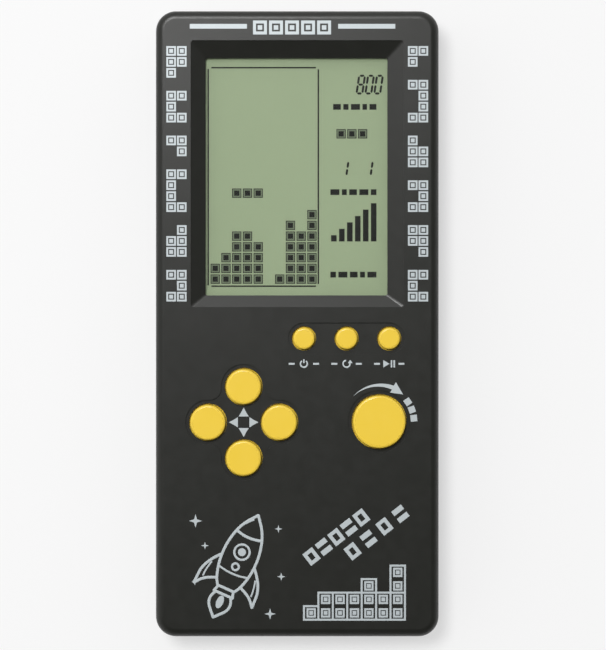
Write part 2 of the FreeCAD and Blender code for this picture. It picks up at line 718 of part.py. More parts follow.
def add_rear_bosses(body):
    bosses = new_sketch(body, "bosses", "floor_thickness")
    for _, x, y in CASE_SCREWS:
        draw_circle(bosses, "boss_radius + wall / 2", x, y)
    pad(bosses, "well_shelf + wall - floor_thickness")
    tubes = new_sketch(body, "tubes", "well_shelf")
    for _, x, y in CASE_SCREWS:
        draw_circle(tubes, "boss_radius", x, y)
    pad(tubes, "parting_height - well_shelf")
    holes = new_sketch(body, "screw_holes", "parting_height")
    for _, x, y in CASE_SCREWS:
        draw_circle(holes, "screw_radius + screw_clearance", x, y)
    pocket(holes, "parting_height")
    wells = new_sketch(body, "wells")
    for _, x, y in CASE_SCREWS:
        draw_circle(wells, "well_radius", x, y)
    pocket(wells, "well_shelf", upward=True)


def cut_door_opening(body):
    """The bay's inside, the place of the door plate, its groove and its end wall."""
    bay = new_sketch(body, "bay")
    draw_rectangle(bay, "bay_length", "bay_height", y="bay_y")
    pocket(bay, BAY_ROOF, upward=True)
    outside = f"({END_Y} - wall)"
    cuts = (
        ("door_place", "0", "door_thickness + door_gap", DOOR_EDGE, DOOR_HEAD),
        (
            "groove",
            f"{TONGUE_BOTTOM} - door_gap / 2",
            "tongue_thickness + door_gap * 3 / 2",
            f"({GROOVE_EDGE} - door_gap)",
            f"({DOOR_HEAD} + tongue_width / 2)",
        ),
        (
            "end_notch",
            "0",
            "door_end_height + door_gap",
            f"({GROOVE_EDGE} - door_gap)",
            f"({END_Y} + wall)",
        ),
    )
    for name, height, depth, edge, head in cuts:
        sketch = new_sketch(body, name, height)
        draw_rectangle(
            sketch,
            f"2 * ({edge} + door_gap)",
            f"({head} + door_gap - {outside})",
            y=f"({head} + door_gap + {outside}) / 2",
        )
        pocket(sketch, depth, upward=True)
    tails = new_sketch(body, "tail_slots", BAY_ROOF)
    for side in (-1, 1):
        draw_rectangle(
            tails,
            "contact_thickness + 2 * fit_gap",
            "tail_width + 2 * fit_gap",
            "-bay_length / 2 + contact_thickness / 2 + fit_gap",
            f"bay_y + {side} * cell_pitch / 2",
        )
    pocket(tails, "bay_wall", upward=True)


def cut_grille(body):
    """Sound holes: one in the middle and a ring, patterned about the buzzer."""
    ring = new_sketch(body, "grille", "floor_thickness")
    draw_circle(ring, "grille_hole_radius", "buzzer_x", "buzzer_y")
    step = "360 / grille_count"
    for index in range(int(number("grille_count"))):
        draw_circle(
            ring,
            "grille_hole_radius",
            f"buzzer_x + grille_ring_radius * cos({index} * {step} * 1 deg)",
            f"buzzer_y + grille_ring_radius * sin({index} * {step} * 1 deg)",
        )
    pocket(ring, "floor_thickness")


def make_door():
    """A slice of the rear shell with tongues along its edges, and grooves to grip it by."""
    blank = doc.addObject("PartDesign::Body", "door_blank")
    rear_shell(blank)
    outside = f"({END_Y} - wall)"
    plate = new_box(
        "door_plate",
        f"2 * {DOOR_EDGE}",
        f"({DOOR_HEAD} - {outside})",
        "door_thickness + wall",
        y=f"({DOOR_HEAD} + {outside}) / 2",
        z="-wall",
    )
    end = new_box(
        "door_end",
        f"2 * ({DOOR_EDGE} + tongue_width)",
        "2 * wall",
        "door_end_height + wall",
        y=END_Y,
        z="-wall",
    )
    slice_of_shell = doc.addObject("Part::Common", "door_slice")
    slice_of_shell.Base = blank
    slice_of_shell.Tool = fuse("door_region", plate, end)
    low, high = f"({END_Y} + wall / 2)", f"({DOOR_HEAD} - fit_gap)"
    sides = new_box(
        "door_side_tongues",
        f"2 * ({DOOR_EDGE} + tongue_width)",
        f"({high} - {low})",
        "tongue_thickness",
        y=f"({high} + {low}) / 2",
        z=TONGUE_BOTTOM,
    )
    head = new_box(
        "door_head_tongue",
        f"2 * {DOOR_EDGE}",
        "tongue_width",
        "tongue_thickness",
        y=DOOR_HEAD,
        z=TONGUE_BOTTOM,
    )
    solid = fuse("door_solid", slice_of_shell, sides, head)
    grooves = [
        new_box(
            f"grip_groove_{index + 1}",
            "grip_length",
            "grip_width",
            "grip_depth",
            y=f"bay_y + ({index} - (grip_count - 1) / 2) * grip_pitch",
        )
        for index in range(int(number("grip_count")))
    ]
    keep(cut("battery_door", solid, fuse("grip_grooves", *grooves)), "battery_door")


# ---------------------------------------------------------------- the display


def make_display():
    """Lens, gasket, polariser, two glasses, reflector and the two elastomer connectors."""
    at_window = {"x": "window_x", "y": "window_y"}
    layers = (
        ("screen_lens", "2 * lens_border", "2 * lens_border", "lens_thickness", LENS_BOTTOM),
        ("lcd_polariser", "2 * film_border", "2 * film_border", "film_thickness", f"{FILM_TOP} - film_thickness"),
        ("lcd_front_glass", "2 * glass_border", "2 * glass_border + 2 * glass_ledge", "glass_thickness", FRONT_GLASS),
        ("lcd_rear_glass", "2 * glass_border", "2 * glass_border", "glass_thickness", REAR_GLASS),
        ("lcd_reflector", "2 * film_border", "2 * film_border", "film_thickness", REFLECTOR),
    )
    for name, wider, longer, thickness, height in layers:
        size = (f"(window_width + {wider})", f"(window_length + {longer})", thickness)
        keep(new_box(name, *size, **at_window, z=height), name)
    inner = [f"(window_{side} + 2 * gasket_inset)" for side in ("width", "length")]
    outer = [f"({side} + 2 * gasket_border - 2 * gasket_inset)" for side in inner]
    gasket = cut(
        "lens_gasket",
        new_box("gasket_sheet", *outer, "gasket_thickness", **at_window, z=FILM_TOP),
        new_box("gasket_view", *inner, "gasket_thickness", **at_window, z=FILM_TOP),
    )
    keep(gasket, "lens_gasket")
    for name, side in (("zebra_strip_upper", 1), ("zebra_strip_lower", -1)):
        middle = f"window_y + {side} * ({REAR_GLASS_LENGTH} / 2 + glass_ledge / 2)"
        strip = new_box(
            name,
            "zebra_length",
            "zebra_width",
            f"({FRONT_GLASS} - {BOARD_TOP})",
            "window_x",
            middle,
            BOARD_TOP,
        )
        keep(strip, name)


# ---------------------------------------------------------------- buttons and rubber


def make_button(name, x, y, diameter, rise, dome):
    """A hollow cap with a flange below and a stem inside, and the pill that it presses down."""
    body = new_body(f"{name}_button", x, y)
    flange = new_sketch(body, "flange", FLANGE_BOTTOM)
    draw_circle(flange, f"{diameter} / 2 + button_gap + flange_width")
    pad(flange, "flange_thickness")
    shaft = new_sketch(body, "shaft", FLANGE_BOTTOM)
    draw_circle(shaft, f"{diameter} / 2")
    pad(shaft, f"case_depth + {rise} - {FLANGE_BOTTOM}")
    soften(body, "Fillet", "button_rounding", f"case_depth + {rise}")
    core = new_sketch(body, "core", FLANGE_BOTTOM)
    draw_circle(core, f"{diameter} / 2 - button_wall")
    stem = f"min({diameter} / 4; plunger_radius)"
    draw_circle(core, stem)
    pocket(core, f"case_depth + {rise} - button_top - {FLANGE_BOTTOM}", upward=True)
    pill = new_cylinder(
        f"{name}_pill",
        f"{dome} - stem_inset",
        "pill_thickness",
        x,
        y,
        f"{BOARD_TOP} + pill_height",
    )
    keep(pill, f"{name}_pill")


def make_rubber_mat(name, x, y, dome, spots, draw_sheet):
    """A sheet on the board with a hollow dome at each spot."""
    body = new_body(name, x, y)
    sheet = new_sketch(body, "sheet", BOARD_TOP)
    draw_sheet(sheet)
    pad(sheet, "mat_thickness")
    domes = new_sketch(body, "domes", f"{BOARD_TOP} + mat_thickness")
    hollows = new_sketch(body, "hollows", BOARD_TOP)
    rings = new_sketch(body, "rings", f"{BOARD_TOP} + pill_height + pill_thickness")
    for across, along in spots:
        draw_circle(domes, dome, across, along)
        draw_circle(hollows, f"{dome} - dome_wall", across, along)
        draw_circle(rings, f"{dome} - dome_wall", across, along)
        draw_circle(rings, f"{dome} - stem_inset", across, along)
    pad(domes, "rubber_height - mat_thickness", TaperAngle="-dome_taper")
    pocket(hollows, "pill_height + pill_thickness", upward=True)
    pocket(rings, "rubber_height - dome_roof - pill_height - pill_thickness", upward=True)


def make_controls():
    for name, (across, along) in DIRECTIONS.items():
        make_button(
            name,
            f"dpad_x + {across} * direction_pitch",
            f"dpad_y + {along} * direction_pitch",
            "direction_diameter",
            "direction_rise",
            "direction_dome",
        )
    for name, side in FUNCTIONS.items():
        x = f"function_x + {side} * function_pitch"
        make_button(name, x, "function_y", "function_diameter", "function_rise", "function_dome")
    make_button("rotate", "rotate_x", "rotate_y", "rotate_diameter", "rotate_rise", "rotate_dome")

    def draw_cross(sketch):
        draw_lobes(sketch, "(direction_dome + mat_border)", "direction_pitch", "dpad_fillet")

    def draw_strip(sketch):
        height = "(2 * function_dome + 2 * mat_border)"
        draw_rectangle(sketch, f"2 * function_pitch + {height}", height, corner="mat_border")

    def draw_disc(sketch):
        draw_circle(sketch, "rotate_dome + mat_border")

    cross = [
        (f"{across} * direction_pitch", f"{along} * direction_pitch")
        for across, along in DIRECTIONS.values()
    ]
    row = [(f"{side} * function_pitch", "0") for side in FUNCTIONS.values()]
    make_rubber_mat("direction_rubber_mat", "dpad_x", "dpad_y", "direction_dome", cross, draw_cross)
    make_rubber_mat("function_rubber_mat", "function_x", "function_y", "function_dome", row, draw_strip)
    make_rubber_mat("rotate_rubber_mat", "rotate_x", "rotate_y", "rotate_dome", [("0", "0")], draw_disc)


# ---------------------------------------------------------------- board and buzzer


def make_board():
    body = new_body("main_board")
    sheet = new_sketch(body, "sheet", BOARD_BOTTOM)
    draw_rectangle(
        sheet,
        "board_width",
        "(board_top_y - board_bottom_y)",
        y="(board_top_y + board_bottom_y) / 2",
        corner="board_corner",
    )
    for x, y in POSTS:
        draw_circle(sheet, "board_screw_radius + fit_gap", x, y)
    pad(sheet, "board_thickness")


def make_components():
    """What is soldered under the board: the chip's blob, a capacitor and the resistors."""
    ball = "(blob_radius ^ 2 + blob_height ^ 2) / (2 * blob_height)"
    dome = doc.addObject("Part::Sphere", "blob_dome")
    bind(dome, Radius=ball)
    place(dome, "blob_x", "blob_y", f"{BOARD_BOTTOM} - blob_height + {ball}")
    size = ("2.5 * blob_radius", "2.5 * blob_radius", "2 * blob_height")
    below = new_box("blob_region", *size, "blob_x", "blob_y", f"{BOARD_BOTTOM} - 2 * blob_height")
    blob = doc.addObject("Part::Common", "chip_blob")
    blob.Base, blob.Tool = dome, below
    keep(blob, "chip_blob")
    size = ("capacitor_radius", "capacitor_height")
    place_below = ("capacitor_x", "capacitor_y", f"{BOARD_BOTTOM} - capacitor_height")
    keep(new_cylinder("capacitor", *size, *place_below), "capacitor")
    resistors = [make_resistor(index) for index in range(int(number("resistor_count")))]
    group("resistors", *resistors)


def make_resistor(index):
    """A resistor along X, with a lead from each end up to the board."""
    y = f"resistor_y + ({index} - (resistor_count - 1) / 2) * resistor_pitch"
    height = f"{BOARD_BOTTOM} - resistor_drop"
    solids = []
    for kind, radius, length in (
        ("body", "resistor_radius", "resistor_length"),
        ("bar", "lead_radius", "lead_span + 2 * lead_radius"),
    ):
        rod = new_cylinder(f"resistor_{kind}_{index}", radius, length)
        place(rod, f"resistor_x - ({length}) / 2", y, height)
        rod.Placement.Rotation = FreeCAD.Rotation(Vector(0, 1, 0), 90)
        solids.append(rod)
    for side in (-1, 1):
        x = f"resistor_x + {side} * lead_span / 2"
        name = f"resistor_lead_{index}_{(side + 1) // 2}"
        solids.append(new_cylinder(name, "0.8 * lead_radius", "resistor_drop", x, y, height))
    return fuse(f"resistor_{index}", *solids)


def make_buzzer():
    at_buzzer = {"x": "buzzer_x", "y": "buzzer_y"}
    disc = new_cylinder("buzzer_disc", "buzzer_radius", "buzzer_thickness", **at_buzzer, z=BUZZER_BOTTOM)
    keep(disc, "buzzer_disc")
    height = f"{BUZZER_BOTTOM} + buzzer_thickness"
    ceramic = new_cylinder("buzzer_ceramic", "ceramic_radius", "ceramic_thickness", **at_buzzer, z=height)
    keep(ceramic, "buzzer_ceramic")


# ---------------------------------------------------------------- battery cells and contacts


def make_cells():
    for name, side in (("upper_cell", 1), ("lower_cell", -1)):
        body = new_body(name)
        can = new_sketch(body, "can")
        draw_circle(can, "cell_radius")
        pad(can, "cell_length - cell_nub_height")
        soften(body, "Fillet", "cell_rounding", "cell_length - cell_nub_height")
        soften(body, "Fillet", "cell_rounding", "0")
        nub = new_sketch(body, "nub", "cell_length - cell_nub_height")
        draw_circle(nub, "cell_nub_radius")
        pad(nub, "cell_nub_height")
        body.Placement.Rotation = FreeCAD.Rotation(Vector(0, 1, 0), 90 * side)
        tip = "bay_length / 2 - contact_thickness - button_play"
        place(body, f"{side} * ({tip} - cell_length)", f"bay_y + {side} * cell_pitch / 2", CELL_MIDDLE)


def make_contacts():
    """Plates at the bay's ends, with a spring for each cell's flat end."""
    standing = f"{CELL_MIDDLE} - contact_height / 2"
    near = "(-bay_length / 2 + contact_thickness / 2)"
    for name, side in (("negative_contact", 1), ("positive_contact", -1)):
        y = f"bay_y + {side} * cell_pitch / 2"
        plate = new_box(f"{name}_plate", "contact_thickness", "contact_width", "contact_height", near, y, standing)
        tail = new_box(
            f"{name}_tail",
            "contact_thickness",
            "tail_width",
            f"({BAY_TOP} + tail_rise - {CELL_MIDDLE})",
            near,
            y,
            CELL_MIDDLE,
        )
        keep(fuse(name, plate, tail), name)
    bridge = new_box(
        "bridge_contact",
        "contact_thickness",
        "cell_pitch + contact_width",
        "contact_height",
        "bay_length / 2 - contact_thickness / 2",
        "bay_y",
        standing,
    )
    keep(bridge, "bridge_contact")
    room = "(bay_length - 2 * contact_thickness - button_play - cell_length)"
    coil_height = f"({room} - 2 * spring_wire_radius - fit_gap)"
    helix = doc.addObject("Part::Helix", "spring_line")
    bind(helix, Pitch=f"{coil_height} / spring_turns", Height=coil_height, Radius="spring_radius")
    doc.recompute()
    coil = coil_along(Part.Wire(helix.Shape.Edges), number("spring_wire_radius"))
    start = "(bay_length / 2 - contact_thickness - spring_wire_radius)"
    for name, side in (("negative_spring", -1), ("bridge_spring", 1)):
        spring = doc.addObject("Part::Feature", name)
        spring.Shape = coil
        spring.Placement.Rotation = FreeCAD.Rotation(Vector(0, 1, 0), -90 * side)
        place(spring, f"{side} * {start}", f"bay_y - {side} * cell_pitch / 2", CELL_MIDDLE)
        keep(spring, name)


def coil_along(path, radius):
    """A round wire that follows a helix."""
    first = path.Edges[0]
    begin = first.FirstParameter
    ring = Part.Circle(first.valueAt(begin), first.tangentAt(begin), radius)
    return path.makePipeShell([Part.Wire(ring.toShape())], True, True)


# ---------------------------------------------------------------- screws and wires


def make_screw(name, x, y, z, thread, length, head_radius, head_height):
    """A screw that points up, with its head below z and a cross slot in the head."""
    shank = new_cylinder(f"{name}_shank", thread, length, x, y, z)
    head = new_cylinder(f"{name}_head", head_radius, head_height, x, y, f"{z} - {head_height}")
    slot_width, slot_length = f"{head_radius} / 4", f"{head_radius} * 1.3"
    depth = f"{head_height} / 2"
    slots = [
        new_box(f"{name}_slot_{turn}", *size, depth, x, y, f"{z} - {head_height}")
        for turn, size in enumerate(((slot_width, slot_length), (slot_length, slot_width)))
    ]
    return cut(name, fuse(f"{name}_blank", shank, head), fuse(f"{name}_cross", *slots))


def make_screws():
    case = [
        make_screw(
            f"case_screw_{index}",
            x,
            y,
            "well_shelf",
            "screw_radius",
            "screw_length",
            "screw_head_radius",
            "screw_head_height",
        )
        for index, (_, x, y) in enumerate(CASE_SCREWS)
    ]
    group("case_screws", *case)
    board = [
        make_screw(
            f"board_screw_{index}",
            x,
            y,
            BOARD_BOTTOM,
            "board_screw_radius",
            "board_screw_length",
            "board_screw_head_radius",
            "board_screw_head_height",
        )
        for index, (x, y) in enumerate(POSTS)
    ]
    group("board_screws", *board)


def tube(name, radius, points):
    """A round wire along straight runs joined by arcs that touch both."""
    pieces, start = [], points[0]
    for before, corner, after in zip(points, points[1:], points[2:]):
        inward, outward = (corner - before).normalize(), (after - corner).normalize()
        turn = inward.getAngle(outward)
        shorter = min((corner - before).Length, (after - corner).Length)
        back = 0.45 * shorter
        bend = back / math.tan(turn / 2)
        first, last = corner - inward * back, corner + outward * back
        middle = corner + (outward - inward).normalize() * (bend / math.cos(turn / 2) - bend)
        pieces += [Part.LineSegment(start, first).toShape(), Part.Arc(first, middle, last).toShape()]
        start = last
        print(f"{name}: bend radius {bend:.1f} mm")
    pieces.append(Part.LineSegment(start, points[-1]).toShape())
    path = Part.Wire(pieces)
    ring = Part.Circle(points[0], (points[1] - points[0]).normalize(), radius)
    pipe = path.makePipeShell([Part.Wire(ring.toShape())], True, False)
    expected = math.pi * radius**2 * path.Length
    print(f"{name}: length {path.Length:.1f} mm, volume {pipe.Volume / expected:.4f} of the expected")
    wire = doc.addObject("Part::Feature", name)
    wire.Shape = pipe
    keep(wire, name)


def make_wires():
    """Battery wires over the bay's roof to the board, and the buzzer's wires up to the board."""
    radius = number("wire_radius")
    tail = number("-bay_length / 2 + contact_thickness")
    roof = number(f"{BAY_TOP} + wire_radius + wire_height")
    board = number(f"{BOARD_TOP} + wire_radius + wire_height")
    upper = number("bay_y + cell_pitch / 2")
    lower = number("bay_y - cell_pitch / 2")
    edge = number("board_bottom_y")
    black = [
        Vector(tail, upper, roof),
        Vector(tail + 5.0, upper, roof),
        Vector(tail + 8.0, upper + 4.2, roof),
        Vector(tail + 6.5, edge - 5.5, roof),
        Vector(tail + 4.0, edge - 1.2, board),
        Vector(tail + 4.0, edge + 3.5, board),
    ]
    red = [
        Vector(tail, lower, roof),
        Vector(tail + 6.0, lower, roof),
        Vector(tail + 12.4, lower + 4.3, roof),
        Vector(tail + 17.4, lower + 13.3, roof),
        Vector(tail + 20.0, edge - 11.5, roof),
        Vector(tail + 21.0, edge - 5.5, roof),
        Vector(tail + 22.0, edge - 1.2, board),
        Vector(tail + 22.0, edge + 3.5, board),
    ]
    tube("battery_wire_black", radius, black)
    tube("battery_wire_red", radius, red)
    brass = number(f"{BUZZER_BOTTOM} + buzzer_thickness")
    ceramic = brass + number("ceramic_thickness")
    underside = number(BOARD_BOTTOM)
    x, y = number("buzzer_x"), number("buzzer_y")
    rim = number("(buzzer_radius + ceramic_radius) / 2")
    for name, start, end_x in (
        ("buzzer_wire_red", Vector(x + 2.0, y, ceramic), x + 5.0),
        ("buzzer_wire_black", Vector(x + rim, y, brass), x + 9.0),
    ):
        low, high = start.z + 3.5, underside - 3.4
        points = [
            start,
            Vector(start.x, y, low),
            Vector(end_x, y - 3.0, high),
            Vector(end_x, y - 3.0, underside),
        ]
        tube(name, radius, points)


# ---------------------------------------------------------------- build and write


def check_and_write():
    """Stops on any failed object or shape, then writes each sub-part's file."""
    doc.recompute()
    failed = [o.Name for o in doc.Objects if {"Invalid", "Error"} & set(o.State)]
    if failed:
        raise RuntimeError(f"these objects failed: {failed}")
    for thing in sub_parts:
        shape = thing.Shape
        if shape.isNull() or not shape.isValid() or not shape.Solids:
            raise RuntimeError(f"{thing.Label} has no valid solid")
    os.makedirs(PARTS_FOLDER, exist_ok=True)
    for thing in sub_parts:
        thing.Shape.exportStep(os.path.join(PARTS_FOLDER, f"{thing.Label}.step"))
    print(f"{len(sub_parts)} sub-parts written")


make_front_case()
make_rear_case()
make_door()
make_display()
make_controls()
make_board()
make_components()
make_buzzer()
make_cells()
make_contacts()
make_screws()
make_wires()
check_and_write()
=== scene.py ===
"""Handheld LCD game: the finish of every piece, the printing on the case and the picture on the display.

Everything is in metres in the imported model's frame: the game lies on its back, screen upwards, with its
screen end towards +Y. Sizes below are millimetres unless a name says otherwise.
"""

import json
import math

import bmesh
import bpy
from bpy.props import FloatProperty, FloatVectorProperty, PointerProperty
from mathutils import Matrix, Vector

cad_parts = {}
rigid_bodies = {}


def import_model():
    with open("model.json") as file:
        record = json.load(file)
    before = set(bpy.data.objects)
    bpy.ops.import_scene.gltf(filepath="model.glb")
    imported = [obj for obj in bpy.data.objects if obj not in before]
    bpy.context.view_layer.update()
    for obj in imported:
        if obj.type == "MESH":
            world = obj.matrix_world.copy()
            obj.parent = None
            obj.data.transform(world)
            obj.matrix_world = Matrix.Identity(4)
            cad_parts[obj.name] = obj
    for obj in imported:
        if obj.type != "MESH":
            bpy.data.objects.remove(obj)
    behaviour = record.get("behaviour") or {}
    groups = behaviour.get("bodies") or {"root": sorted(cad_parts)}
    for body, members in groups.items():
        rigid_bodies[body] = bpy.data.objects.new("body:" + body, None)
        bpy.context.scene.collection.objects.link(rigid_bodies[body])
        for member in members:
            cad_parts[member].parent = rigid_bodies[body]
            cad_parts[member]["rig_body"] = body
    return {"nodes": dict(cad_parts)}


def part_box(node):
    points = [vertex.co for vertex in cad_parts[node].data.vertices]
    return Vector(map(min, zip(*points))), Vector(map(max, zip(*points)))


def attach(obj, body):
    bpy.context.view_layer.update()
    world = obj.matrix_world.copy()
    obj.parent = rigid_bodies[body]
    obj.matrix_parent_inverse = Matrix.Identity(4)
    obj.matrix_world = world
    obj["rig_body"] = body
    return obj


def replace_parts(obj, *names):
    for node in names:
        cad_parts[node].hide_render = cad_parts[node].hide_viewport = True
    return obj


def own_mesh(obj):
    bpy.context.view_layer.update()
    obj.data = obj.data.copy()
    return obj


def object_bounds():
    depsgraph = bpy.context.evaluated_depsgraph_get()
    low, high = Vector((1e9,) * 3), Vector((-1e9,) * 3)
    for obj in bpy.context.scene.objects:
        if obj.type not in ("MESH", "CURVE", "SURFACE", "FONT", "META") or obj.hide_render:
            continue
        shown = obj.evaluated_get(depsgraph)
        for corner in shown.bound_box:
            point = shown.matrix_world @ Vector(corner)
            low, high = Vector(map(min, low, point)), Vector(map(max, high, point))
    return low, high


bl_info = {
    "name": "Handheld LCD game",
    "version": (1, 0, 0),
    "blender": (4, 5, 0),
    "location": "3D View > Sidebar > LCD Game",
    "description": "Finishes, prints and lights a handheld LCD game around its packed case",
    "category": "Add Mesh",
}

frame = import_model()
CAD_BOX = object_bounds()
NODES = frame["nodes"]
MM = 0.001
BODY = "case"
BUTTONS = ("up", "right", "down", "left", "power", "reset", "start", "rotate")
DIRECTIONS = {"up": (0, 1), "right": (1, 0), "down": (0, -1), "left": (-1, 0)}

# Cells of the printed side ornament, from the screen end down: one string a row, and a gap between groups.
LEFT_GROUPS = (
    ("##", "##", "#."),
    ("##", "#.", "##"),
    ("##", ".#"),
    ("##", "#.", "#.", "##"),
    (".#", "##", "##"),
    ("##", ".#", "##"),
)
RIGHT_GROUPS = (
    ("##", "#."),
    ("##", ".#", ".#", "##"),
    ("#.", "##", "##"),
    ("##", ".#", "##"),
    ("##", "##", ".#"),
    ("##", "#.", "##"),
)
# How many cells stand in each column: on the display, and in the block stack printed at the lower end.
DISPLAY_COLUMNS = (2, 3, 5, 5, 4, 0, 1, 6, 5, 7)
STACK_COLUMNS = (1, 2, 2, 2, 3, 2, 4)
# Which of a digit's seven segments are dark, in the order top, upper left and right, middle, lower left and
# right, bottom.
DIGITS = {"8": (1, 1, 1, 1, 1, 1, 1), "0": (1, 1, 1, 0, 1, 1, 1), "1": (0, 0, 1, 0, 0, 1, 0)}


def linear(code):
    """The linear colour of an sRGB hex code, with full alpha."""
    channels = [int(code[i : i + 2], 16) / 255 for i in (0, 2, 4)]
    return [c / 12.92 if c <= 0.04045 else ((c + 0.055) / 1.055) ** 2.4 for c in channels] + [1.0]


def colour_property(name, code, description):
    return FloatVectorProperty(
        name=name, description=description, default=linear(code), subtype="COLOR", size=4, min=0, max=1
    )


def length_property(name, millimetres, description):
    return FloatProperty(
        name=name, description=description, default=millimetres * MM, unit="LENGTH", min=0, precision=5
    )


# ---------------------------------------------------------------- settings


class LCDGAME_PG_colours(bpy.types.PropertyGroup):
    """Colours of the game's materials."""

    case: colour_property("Case", "171813", "Moulded case halves and battery door")
    button: colour_property("Buttons", "F2CE42", "Button caps")
    ink: colour_property("Print", "C3CBCE", "Silver screen print on the case")
    display: colour_property("Display", "9AA987", "Display where nothing is shown")
    segment: colour_property("Segments", "10120D", "Dark parts of the display's picture")
    half_segment: colour_property("Half-dark segments", "6E7A63", "Rings of the display's cells")


class LCDGAME_PG_sizes(bpy.types.PropertyGroup):
    """Sizes of the printing and of the display's picture."""

    ink_height: length_property("Ink height", 0.03, "How far the print stands above the plastic")
    ink_depth: length_property("Ink depth", 0.01, "How far the print reaches into the plastic")
    cell: length_property("Ornament cell", 2.75, "Printed ornament cell, across")
    cell_pitch: length_property("Ornament pitch", 3.15, "Ornament cell to ornament cell")
    group_gap: length_property("Ornament gap", 3.4, "Extra gap between ornament groups")
    bar_height: length_property("Bar height", 1.35, "Bars above the display")
    bar_length: length_property("Bar length", 16.4, "Bars above the display")
    lens_border: length_property("Lens border", 2.5, "How far the lens reaches past the opening")
    display_pitch: length_property("Display pitch", 3.1, "Display cell to display cell")
    display_cell: length_property("Display cell", 2.68, "Display cell, across")
    display_line: length_property("Display line", 0.42, "Lines round the display's field")
    stroke: length_property("Stroke", 0.78, "Lines of the printed picture")
    recess_depth: length_property("Recess depth", 0.45, "Floor of the button recesses below the front face")


class LCDGAME_PG_light(bpy.types.PropertyGroup):
    """Camera and lamps."""

    camera_height: length_property("Camera height", 700, "Camera above the front face")
    view_length: length_property("View length", 186.6, "What the camera sees at the front face")
    view_x: length_property("View shift", 1.65, "Middle of the view, right of the game's middle")
    key_power: FloatProperty(
        name="Key power", description="Softbox overhead, which casts the shadow", default=5.8, min=0
    )
    sheen_power: FloatProperty(
        name="Sheen power", description="Softbox beyond the screen end, seen as sheen", default=5.4, min=0
    )
    sky: FloatProperty(name="Sky", description="Strength of the studio round the game", default=0.86, min=0)


def settings():
    scene = bpy.context.scene
    return scene.lcdgame_colours, scene.lcdgame_sizes, scene.lcdgame_light


# ---------------------------------------------------------------- places, from the frame


def middle(name):
    """The middle of a CAD node's box, as (x, y)."""
    low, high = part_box(name)
    return (low.x + high.x) / 2, (low.y + high.y) / 2


def face_height():
    """Front face: the top of the front half's box."""
    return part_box("front_case")[1].z


def window():
    """The opening over the display: low and high corner, from the lens that reaches past it."""
    border = settings()[1].lens_border
    low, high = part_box("screen_lens")
    return Vector((low.x + border, low.y + border)), Vector((high.x - border, high.y - border))


# ---------------------------------------------------------------- mesh helpers


def quad(bm, width, height, turn=None):
    """A flat rectangle about the origin, moved by turn."""
    size = Matrix.Diagonal((width, height, 1, 1))
    matrix = (turn or Matrix()) @ size
    made = bmesh.ops.create_grid(bm, x_segments=1, y_segments=1, size=0.5, matrix=matrix)
    return made["verts"][0].link_faces[0]


def at(x, y, angle=0.0):
    return Matrix.Translation((x, y, 0)) @ Matrix.Rotation(angle, 4, "Z")


def ring(bm, width, height, line, turn=None):
    """A flat rectangular ring about the origin, moved by turn."""
    face = quad(bm, width, height, turn)
    bmesh.ops.inset_region(bm, faces=[face], thickness=line, use_even_offset=True, use_boundary=True)
    bmesh.ops.delete(bm, geom=[face], context="FACES")


def outline(bm, points, turn=None):
    """A flat face with these corners."""
    matrix = turn or Matrix()
    return bm.faces.new([bm.verts.new(matrix @ Vector((x, y, 0))) for x, y in points])


def arc(centre, radius, first, last, steps):
    """Points on an arc, with angles in degrees."""
    for step in range(steps + 1):
        angle = math.radians(first + (last - first) * step / steps)
        yield centre[0] + radius * math.cos(angle), centre[1] + radius * math.sin(angle)


def thicken(bm, bottom, height):
    """Turns flat faces into prisms that stand on bottom."""
    bmesh.ops.translate(bm, vec=(0, 0, bottom), verts=bm.verts[:])
    made = bmesh.ops.extrude_face_region(bm, geom=bm.faces[:])
    raised = [part for part in made["geom"] if isinstance(part, bmesh.types.BMVert)]
    bmesh.ops.translate(bm, vec=(0, 0, height), verts=raised)
    bmesh.ops.recalc_face_normals(bm, faces=bm.faces[:])


def stroke(bm, points, width, closed=False, order=3):
    """A flat line of a width along a smooth curve through the neighbourhood of its points."""
    data = bpy.data.curves.new("stroke", "CURVE")
    data.dimensions = "3D"
    data.bevel_depth = width / 2
    data.bevel_resolution = 2
    data.use_fill_caps = True
    data.resolution_u = 8
    spline = data.splines.new("NURBS")
    spline.points.add(len(points) - 1)
    for index, (x, y) in enumerate(points):
        spline.points[index].co = (x, y, 0, 1)
    spline.order_u = order
    spline.use_endpoint_u = not closed
    spline.use_cyclic_u = closed
    line = bpy.data.objects.new("stroke", data)
    bpy.context.scene.collection.objects.link(line)
    mesh = bpy.data.meshes.new_from_object(line.evaluated_get(bpy.context.evaluated_depsgraph_get()))
    before = len(bm.verts)
    bm.from_mesh(mesh)
    bm.verts.ensure_lookup_table()
    bpy.data.objects.remove(line)
    bpy.data.curves.remove(data)
    bpy.data.meshes.remove(mesh)
    return bm.verts[before:]


def flatten(bm, verts, bottom, height, width):
    """Presses round lines down to the height of ink."""
    for vert in verts:
        vert.co.z = bottom + height * (vert.co.z / width + 0.5)


def piece(name, bm, material, body=BODY, sharp=40):
    """Finishes a bmesh as a piece that rides on a body."""
    bmesh.ops.remove_doubles(bm, verts=bm.verts[:], dist=1e-7)
    for edge in bm.edges:
        edge.smooth = len(edge.link_faces) == 2 and edge.calc_face_angle() < math.radians(sharp)
    for face in bm.faces:
        face.smooth = True
    mesh = bpy.data.meshes.new(name)
    bm.to_mesh(mesh)
    bm.free()
    made = bpy.data.objects.new(name, mesh)
    bpy.context.scene.collection.objects.link(made)
    mesh.materials.append(material)
    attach(made, body)
    return made


